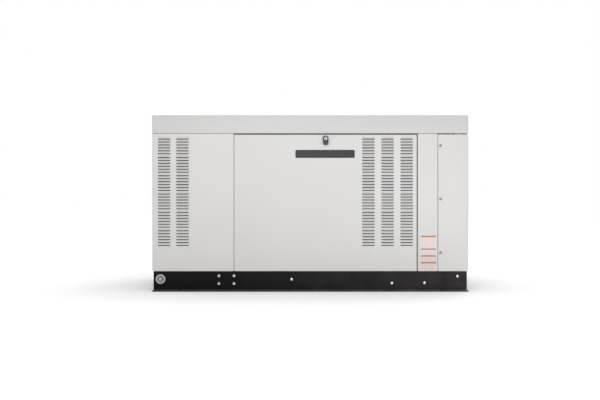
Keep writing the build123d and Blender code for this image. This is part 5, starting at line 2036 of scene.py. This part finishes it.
@dataclass
class EngineBolts:
    """The engine's hex bolts: those that stand still, and those that turn with a shaft.

    Attributes:
        cover: the valve cover's bolts along the engine.
        cover_side: how far they are from the engine's middle.
        cylinders: the middles of the exhaust flanges.
        flange: how far a flange's two bolts are from its middle.
        flange_line: the flanges' height.
        flange_face: where the flanges' faces are.
        pan: the oil pan's bolts along the engine.
        pan_side: how far they are from the middle.
        pan_line: the pan flange's height.
        small: the covers' bolt head.
        large: the flanges' bolt head.
        shaft: the crankshaft's height.
        fan_shaft: the fan's height.
        fan_ring: the radius of the fan's ring of bolts.
        charge_shaft: where the charging pulley's shaft is across the set, and its height.
    """

    cover: Sequence[float] = (96.0, 180.0, 260.0, 340.0, 424.0)
    cover_side: float = 76.5
    cylinders: Sequence[float] = (128.0, 216.0, 304.0, 392.0)
    flange: float = 24.0
    flange_line: float = 478.0
    flange_face: float = 98.2
    pan: Sequence[float] = (90.0, 170.0, 250.0, 330.0, 425.0)
    pan_side: float = 88.0
    pan_line: float = 178.0
    small: HexHead = HexHead(4.6)
    large: HexHead = HexHead(6.4)
    shaft: float = 270.0
    fan_shaft: float = 410.0
    fan_ring: float = 36.0
    charge_shaft: tuple[float, float] = (-185.0, 370.0)

    def still(self) -> None:
        """Adds the bolts of the valve cover, the exhaust flanges and the oil pan."""
        shape = Shape()
        seat = span("valve_cover")[0].z + 6
        for x in self.cover:
            for y in (-self.cover_side, self.cover_side):
                self.small.add(shape, (x, y, seat), (0, 0, 1))
        for x in self.cylinders:
            for side in (-self.flange, self.flange):
                place = (x + side, self.flange_face, self.flange_line + side * 0.7)
                self.large.add(shape, place, (0, 1, 0))
        for x in self.pan:
            for y in (-self.pan_side, self.pan_side):
                self.small.add(shape, (x, y, self.pan_line), (0, 0, -1))
        shape.piece("engine_hex_bolts", "enclosure", "zinc_hardware", [Stock.ZINC])

    def on_fan(self) -> None:
        """Adds the fan's ring of bolts and its hub cap."""
        shape = Shape()
        face = span("fan")[1].x - 3.0
        bolt = HexHead(5.4)
        for turn in range(6):
            angle = math.tau * turn / 6
            across, up = self.fan_ring * math.cos(angle), self.fan_ring * math.sin(angle)
            bolt.add(shape, (face, across, self.fan_shaft + up), (1, 0, 0))
        cap = ((0, 0), (22, 0), (22, 2), (17, 5), (8, 6.6), (0, 7))
        shape.turned(cap, (face, 0, self.fan_shaft), (1, 0, 0), 32)
        shape.piece("fan_hub_bolts", "fan", "zinc_hardware", [Stock.ZINC])

    def on_shafts(self) -> None:
        """Adds the crankshaft's nose bolt and the charging pulley's nut."""
        nose = Shape()
        end = span("crankshaft")[1].x - 0.5
        HexHead(12.0).add(nose, (end, 0, self.shaft), (1, 0, 0))
        nose.piece("crank_nose_bolt", "crankshaft", "machined_steel", [Stock.STEEL])
        nut = Shape()
        end = span("charge_pulley")[1].x - 0.5
        HexHead(8.0).add(nut, (end, *self.charge_shaft), (1, 0, 0))
        nut.piece("charge_pulley_nut", "charge_rotor", "machined_steel", [Stock.STEEL])

    def build(self) -> None:
        """Builds every bolt."""
        self.still()
        self.on_fan()
        self.on_shafts()


@dataclass
class HoseClamps:
    """Worm-drive clamps on both ends of the coolant hoses and on the fuel hose.

    Attributes:
        places: the middle of the hose at each clamp, the hose's direction there, and its radius.
        reach: half the length of the worm's housing.
        head: how far the screw's head stands out of the housing.
    """

    places: Sequence[tuple[Point, Point, float]] = (
        ((471, 60, 485), (1, 0, 0), 19.1),
        ((568, 60, 690), (1, 0, 0), 19.1),
        ((464, 126, 330), (0, 1, 0), 17.1),
        ((566, 172, 124), (1, 0, 0), 17.1),
        ((-503, 225, 430), (1, 0, 0), 10.1),
        ((81, -253, 478), (0, 1, 0), 10.1),
    )
    reach: float = 7.0
    head: float = 3.0

    def clamp(self, shape: Shape, middle: Point, way: Point, radius: float) -> None:
        """Adds one clamp: its band, and the screw's housing on it.

        Args:
            shape: the shape that it joins.
            middle: the middle of the hose there.
            way: the hose's direction.
            radius: the hose's radius.
        """
        band = ((0.0, -5), (1.3, -5), (1.8, -4.2), (1.8, 4.2), (1.3, 5), (0.0, 5), (0.0, -5))
        shape.turned([(radius + r, a) for r, a in band], middle, way, 36)
        axis = Vector(way).normalized()
        rest = Vector((0.0, 0.0, 1.0) if abs(axis.z) < 0.9 else (1.0, 0.0, 0.0))
        side = axis.cross(rest).normalized()
        if side.y > 0:
            side.negate()
        seat = Vector(middle) + side * (radius + 3.6)
        across = axis.cross(side)
        housing_end = seat + across * self.reach
        shape.rod(seat - across * self.reach, housing_end, 3.8, 12, edge=0.6)
        shape.rod(housing_end, seat + across * (self.reach + self.head), 3.4, 6, edge=0.4)

    def build(self) -> None:
        """Builds the clamps."""
        shape = Shape()
        for middle, way, radius in self.places:
            self.clamp(shape, middle, way, radius)
        shape.piece("hose_clamps", "enclosure", "zinc_hardware", [Stock.ZINC])


@dataclass
class BatteryTop:
    """The battery's vent caps and terminal clamps.

    Attributes:
        first_cap: the first vent cap's foot.
        cap_pitch: from cap to cap.
        cells: how many caps there are.
        posts: where the two terminals are.
        post_row: how far they are in front of the set's middle.
        lug: the tail of a clamp, from its ring to its end.
        seat: the terminals' height.
    """

    first_cap: Point = (-643.0, -204.0, 284.0)
    cap_pitch: float = 22.0
    cells: int = 6
    posts: Sequence[float] = (-660.0, -516.0)
    post_row: float = -135.0
    lug: tuple[float, float] = (-123.5, -108.0)
    seat: float = 268.0

    def caps(self) -> None:
        """Adds a cap over each cell."""
        shape = Shape()
        cap = ((0, 0), (9.5, 0), (9.5, 2.2), (8.4, 3.2), (5.5, 3.2), (5.0, 2.2), (0, 2.2))
        x, y, z = self.first_cap
        for number in range(self.cells):
            shape.turned(cap, (x + self.cap_pitch * number, y, z), (0, 0, 1), 24)
        shape.piece("battery_vent_caps", "enclosure", "yellow_plastic", [Stock.YELLOW])

    def clamps(self) -> None:
        """Adds a clamp on each terminal: its ring, its split tail and the bolt across the tail."""
        shape = Shape()
        ring = ((8.1, 0), (12.4, 0), (12.4, 9), (11.6, 10), (8.1, 10), (8.1, 0))
        start, end = self.lug
        for x in self.posts:
            shape.turned(ring, (x, self.post_row, self.seat), (0, 0, 1), 28)
            shape.box((x - 5, start, self.seat + 1), (x + 5, end, self.seat + 9), radius=1.0)
            bolt = ((x - 9, end - 7, self.seat + 5), (x + 9, end - 7, self.seat + 5))
            shape.rod(*bolt, 3.2, 6, edge=0.4)
        shape.piece("battery_terminal_clamps", "enclosure", "machined_steel", [Stock.STEEL])

    def build(self) -> None:
        """Builds what is on the battery."""
        self.caps()
        self.clamps()


@dataclass
class AirCleanerClips:
    """Three over-centre clips that hold the air cleaner's lid.

    Attributes:
        middle: the middle of the lid's seam.
        reach: how far out the clips sit.
    """

    middle: Point = (34, -185, 660)
    reach: float = 86.5

    def build(self) -> None:
        """Builds the clips, each made flat at the origin and moved round the lid."""
        shape = Shape()
        for turn in range(3):
            angle = math.radians(90 + 120 * turn)
            way = Vector((0, math.cos(angle), math.sin(angle)))
            seat = Vector(self.middle) + way * self.reach
            before = set(shape.mesh.verts)
            shape.box((-14, -6, 0), (16, 6, 2.2), radius=0.8)
            shape.box((-16, -5, -1.5), (-11, 5, 5.5), radius=1.0)
            fresh = [vert for vert in shape.mesh.verts if vert not in before]
            turned = Matrix.Rotation(angle - math.pi / 2, 4, "X")
            bmesh.ops.transform(shape.mesh, verts=fresh, matrix=Matrix.Translation(seat) @ turned)
        shape.piece("air_cleaner_clips", "enclosure", "zinc_hardware", [Stock.ZINC])


@dataclass
class DoorSealAndGapShade:
    """The black rubber seal round the lift-out panel's opening, on the inner frame, which also fills the gaps
    round the panel with dark as painted shade.

    Attributes:
        foot: where its two uprights start.
        upright: the front and the back of an upright.
        header: the front and the back of the strip along the top.
    """

    foot: float = 112.0
    upright: tuple[float, float] = (-324.6, -323.1)
    header: tuple[float, float] = (-331.5, -323.2)

    def build(self) -> None:
        """Builds the two uprights and the strip over them."""
        low, high = span("front_panel")
        shape = Shape()
        front, back = self.upright
        for x in (low.x + 9, high.x - 9):
            shape.box((x - 6, front, self.foot), (x + 6, back, high.z - 4), radius=0.5)
        front, back = self.header
        # the strip over the opening sits in the shadow gap under the roof: a real seal, and dark there as
        # painted shade
        shape.box((low.x + 4, front, high.z + 2.2), (high.x - 4, back, high.z + 5.6), radius=0.8)
        shape.piece("door_seal_and_gap_shade", "enclosure", "rubber_black", [Stock.RUBBER])


@dataclass
class RearScrews:
    """Pan-head screws down the seams of the rear wall.

    Attributes:
        seams: where each column of screws is.
        rows: their heights.
        screw: their head.
    """

    seams: Sequence[float] = (-395.5, -367.5, 521.0, 549.0)
    rows: Sequence[float] = (725.0, 459.0, 191.0)
    screw: PanHead = PanHead(5.6)

    def build(self) -> None:
        """Builds the screws."""
        shape = Shape()
        wall = span("rear_right_panel")[1].y
        for x in self.seams:
            for z in self.rows:
                self.screw.add(shape, (x, wall, z), (0, 1, 0))
        shape.piece("rear_panel_screws", "enclosure", "zinc_hardware", [Stock.SCREW])


# ---------------------------------------------------------------- studio
@dataclass(frozen=True)
class Lamp:
    """A soft square light.

    Attributes:
        name: the light's name.
        place: where it hangs, in metres.
        aim: the point that it faces.
        size: its side, in metres.
        watts: its power.
    """

    name: str
    place: Point
    aim: Point
    size: float
    watts: float

    def build(self) -> None:
        """Hangs the light."""
        light = bpy.data.lights.new(self.name, "AREA")
        light.shape, light.size, light.energy = "SQUARE", self.size, self.watts
        made = bpy.data.objects.new(self.name, light)
        made.location = self.place
        made.rotation_euler = (Vector(self.aim) - Vector(self.place)).to_track_quat("-Z", "Y").to_euler()
        bpy.context.scene.collection.objects.link(made)


@dataclass
class Studio:
    """A pale floor, soft light and the camera, all in metres.

    Attributes:
        lamps: the lights.
        floor_radius: the paper floor's radius.
        camera_place: where the camera stands.
        lens: its focal length, in millimetres.
        sensor: its film's width, in millimetres.
        surround: how strongly the white surround lights the set.
    """

    lamps: Sequence[Lamp] = (
        Lamp("key", (-0.5, -2.6, 1.35), (-0.15, 0, 0.8), 0.9, 13),
        Lamp("low_fill", (1.0, -2.2, 0.4), (0.6, 0, 0.25), 0.7, 7),
        Lamp("overhead", (0, 0.7, 3.6), (0, 0.1, 0), 3.0, 26),
        Lamp("rear_fill", (2.2, 3.6, 2.6), (0, 0, 0.4), 2.6, 40),
    )
    floor_radius: float = 14.0
    camera_place: Point = (-0.051, -4.51, 0.454)
    lens: float = 50.0
    sensor: float = 36.0
    surround: float = 0.60

    def floor(self) -> None:
        """A wide round floor of studio paper."""
        mesh = bmesh.new()
        bmesh.ops.create_circle(mesh, cap_ends=True, segments=96, radius=self.floor_radius)
        data = bpy.data.meshes.new("studio_floor")
        mesh.to_mesh(data)
        mesh.free()
        data.materials.append(Stock.PAPER.value.material())
        made = bpy.data.objects.new("studio_floor", data)
        bpy.context.scene.collection.objects.link(made)

    def sky(self) -> None:
        """A white surround that lights softly and is seen as white."""
        world = bpy.data.worlds.new("studio_surround")
        bpy.context.scene.world = world
        world.use_nodes = True
        tree = world.node_tree
        tree.nodes.clear()
        seen = add_node(tree, "ShaderNodeLightPath").outputs["Is Camera Ray"]
        strength = {"Value": seen, "To Min": self.surround, "To Max": 1.0}
        level = add_node(tree, "ShaderNodeMapRange", strength).outputs["Result"]
        back = add_node(tree, "ShaderNodeBackground", {"Color": (1, 1, 1, 1), "Strength": level})
        add_node(tree, "ShaderNodeOutputWorld", {"Surface": back.outputs[0]})

    def camera(self) -> None:
        """The level camera in front of the set."""
        data = bpy.data.cameras.new("studio_camera")
        data.lens, data.sensor_width = self.lens, self.sensor
        made = bpy.data.objects.new("studio_camera", data)
        made.location = self.camera_place
        made.rotation_euler = (math.radians(90), 0, 0)
        bpy.context.scene.collection.objects.link(made)
        bpy.context.scene.camera = made

    def build(self) -> None:
        """Sets the studio up."""
        bpy.context.scene.view_settings.view_transform = "Standard"
        self.floor()
        self.sky()
        for lamp in self.lamps:
            lamp.build()
        self.camera()


def main() -> None:
    """Builds the whole set in order and notes its size."""
    Studio().build()
    for group in (
        Enclosure(),
        PostLabels(),
        Nameplate(),
        Latch(),
        Base(),
        AcousticPad(),
        EngineBay(),
        ControlPanel(),
        EngineBolts(),
        HoseClamps(),
        BatteryTop(),
        AirCleanerClips(),
        DoorSealAndGapShade(),
        RearScrews(),
    ):
        group.build()


if __name__ == "__main__":
    logging.basicConfig(level=logging.INFO, format="%(name)s: %(message)s")
    main()
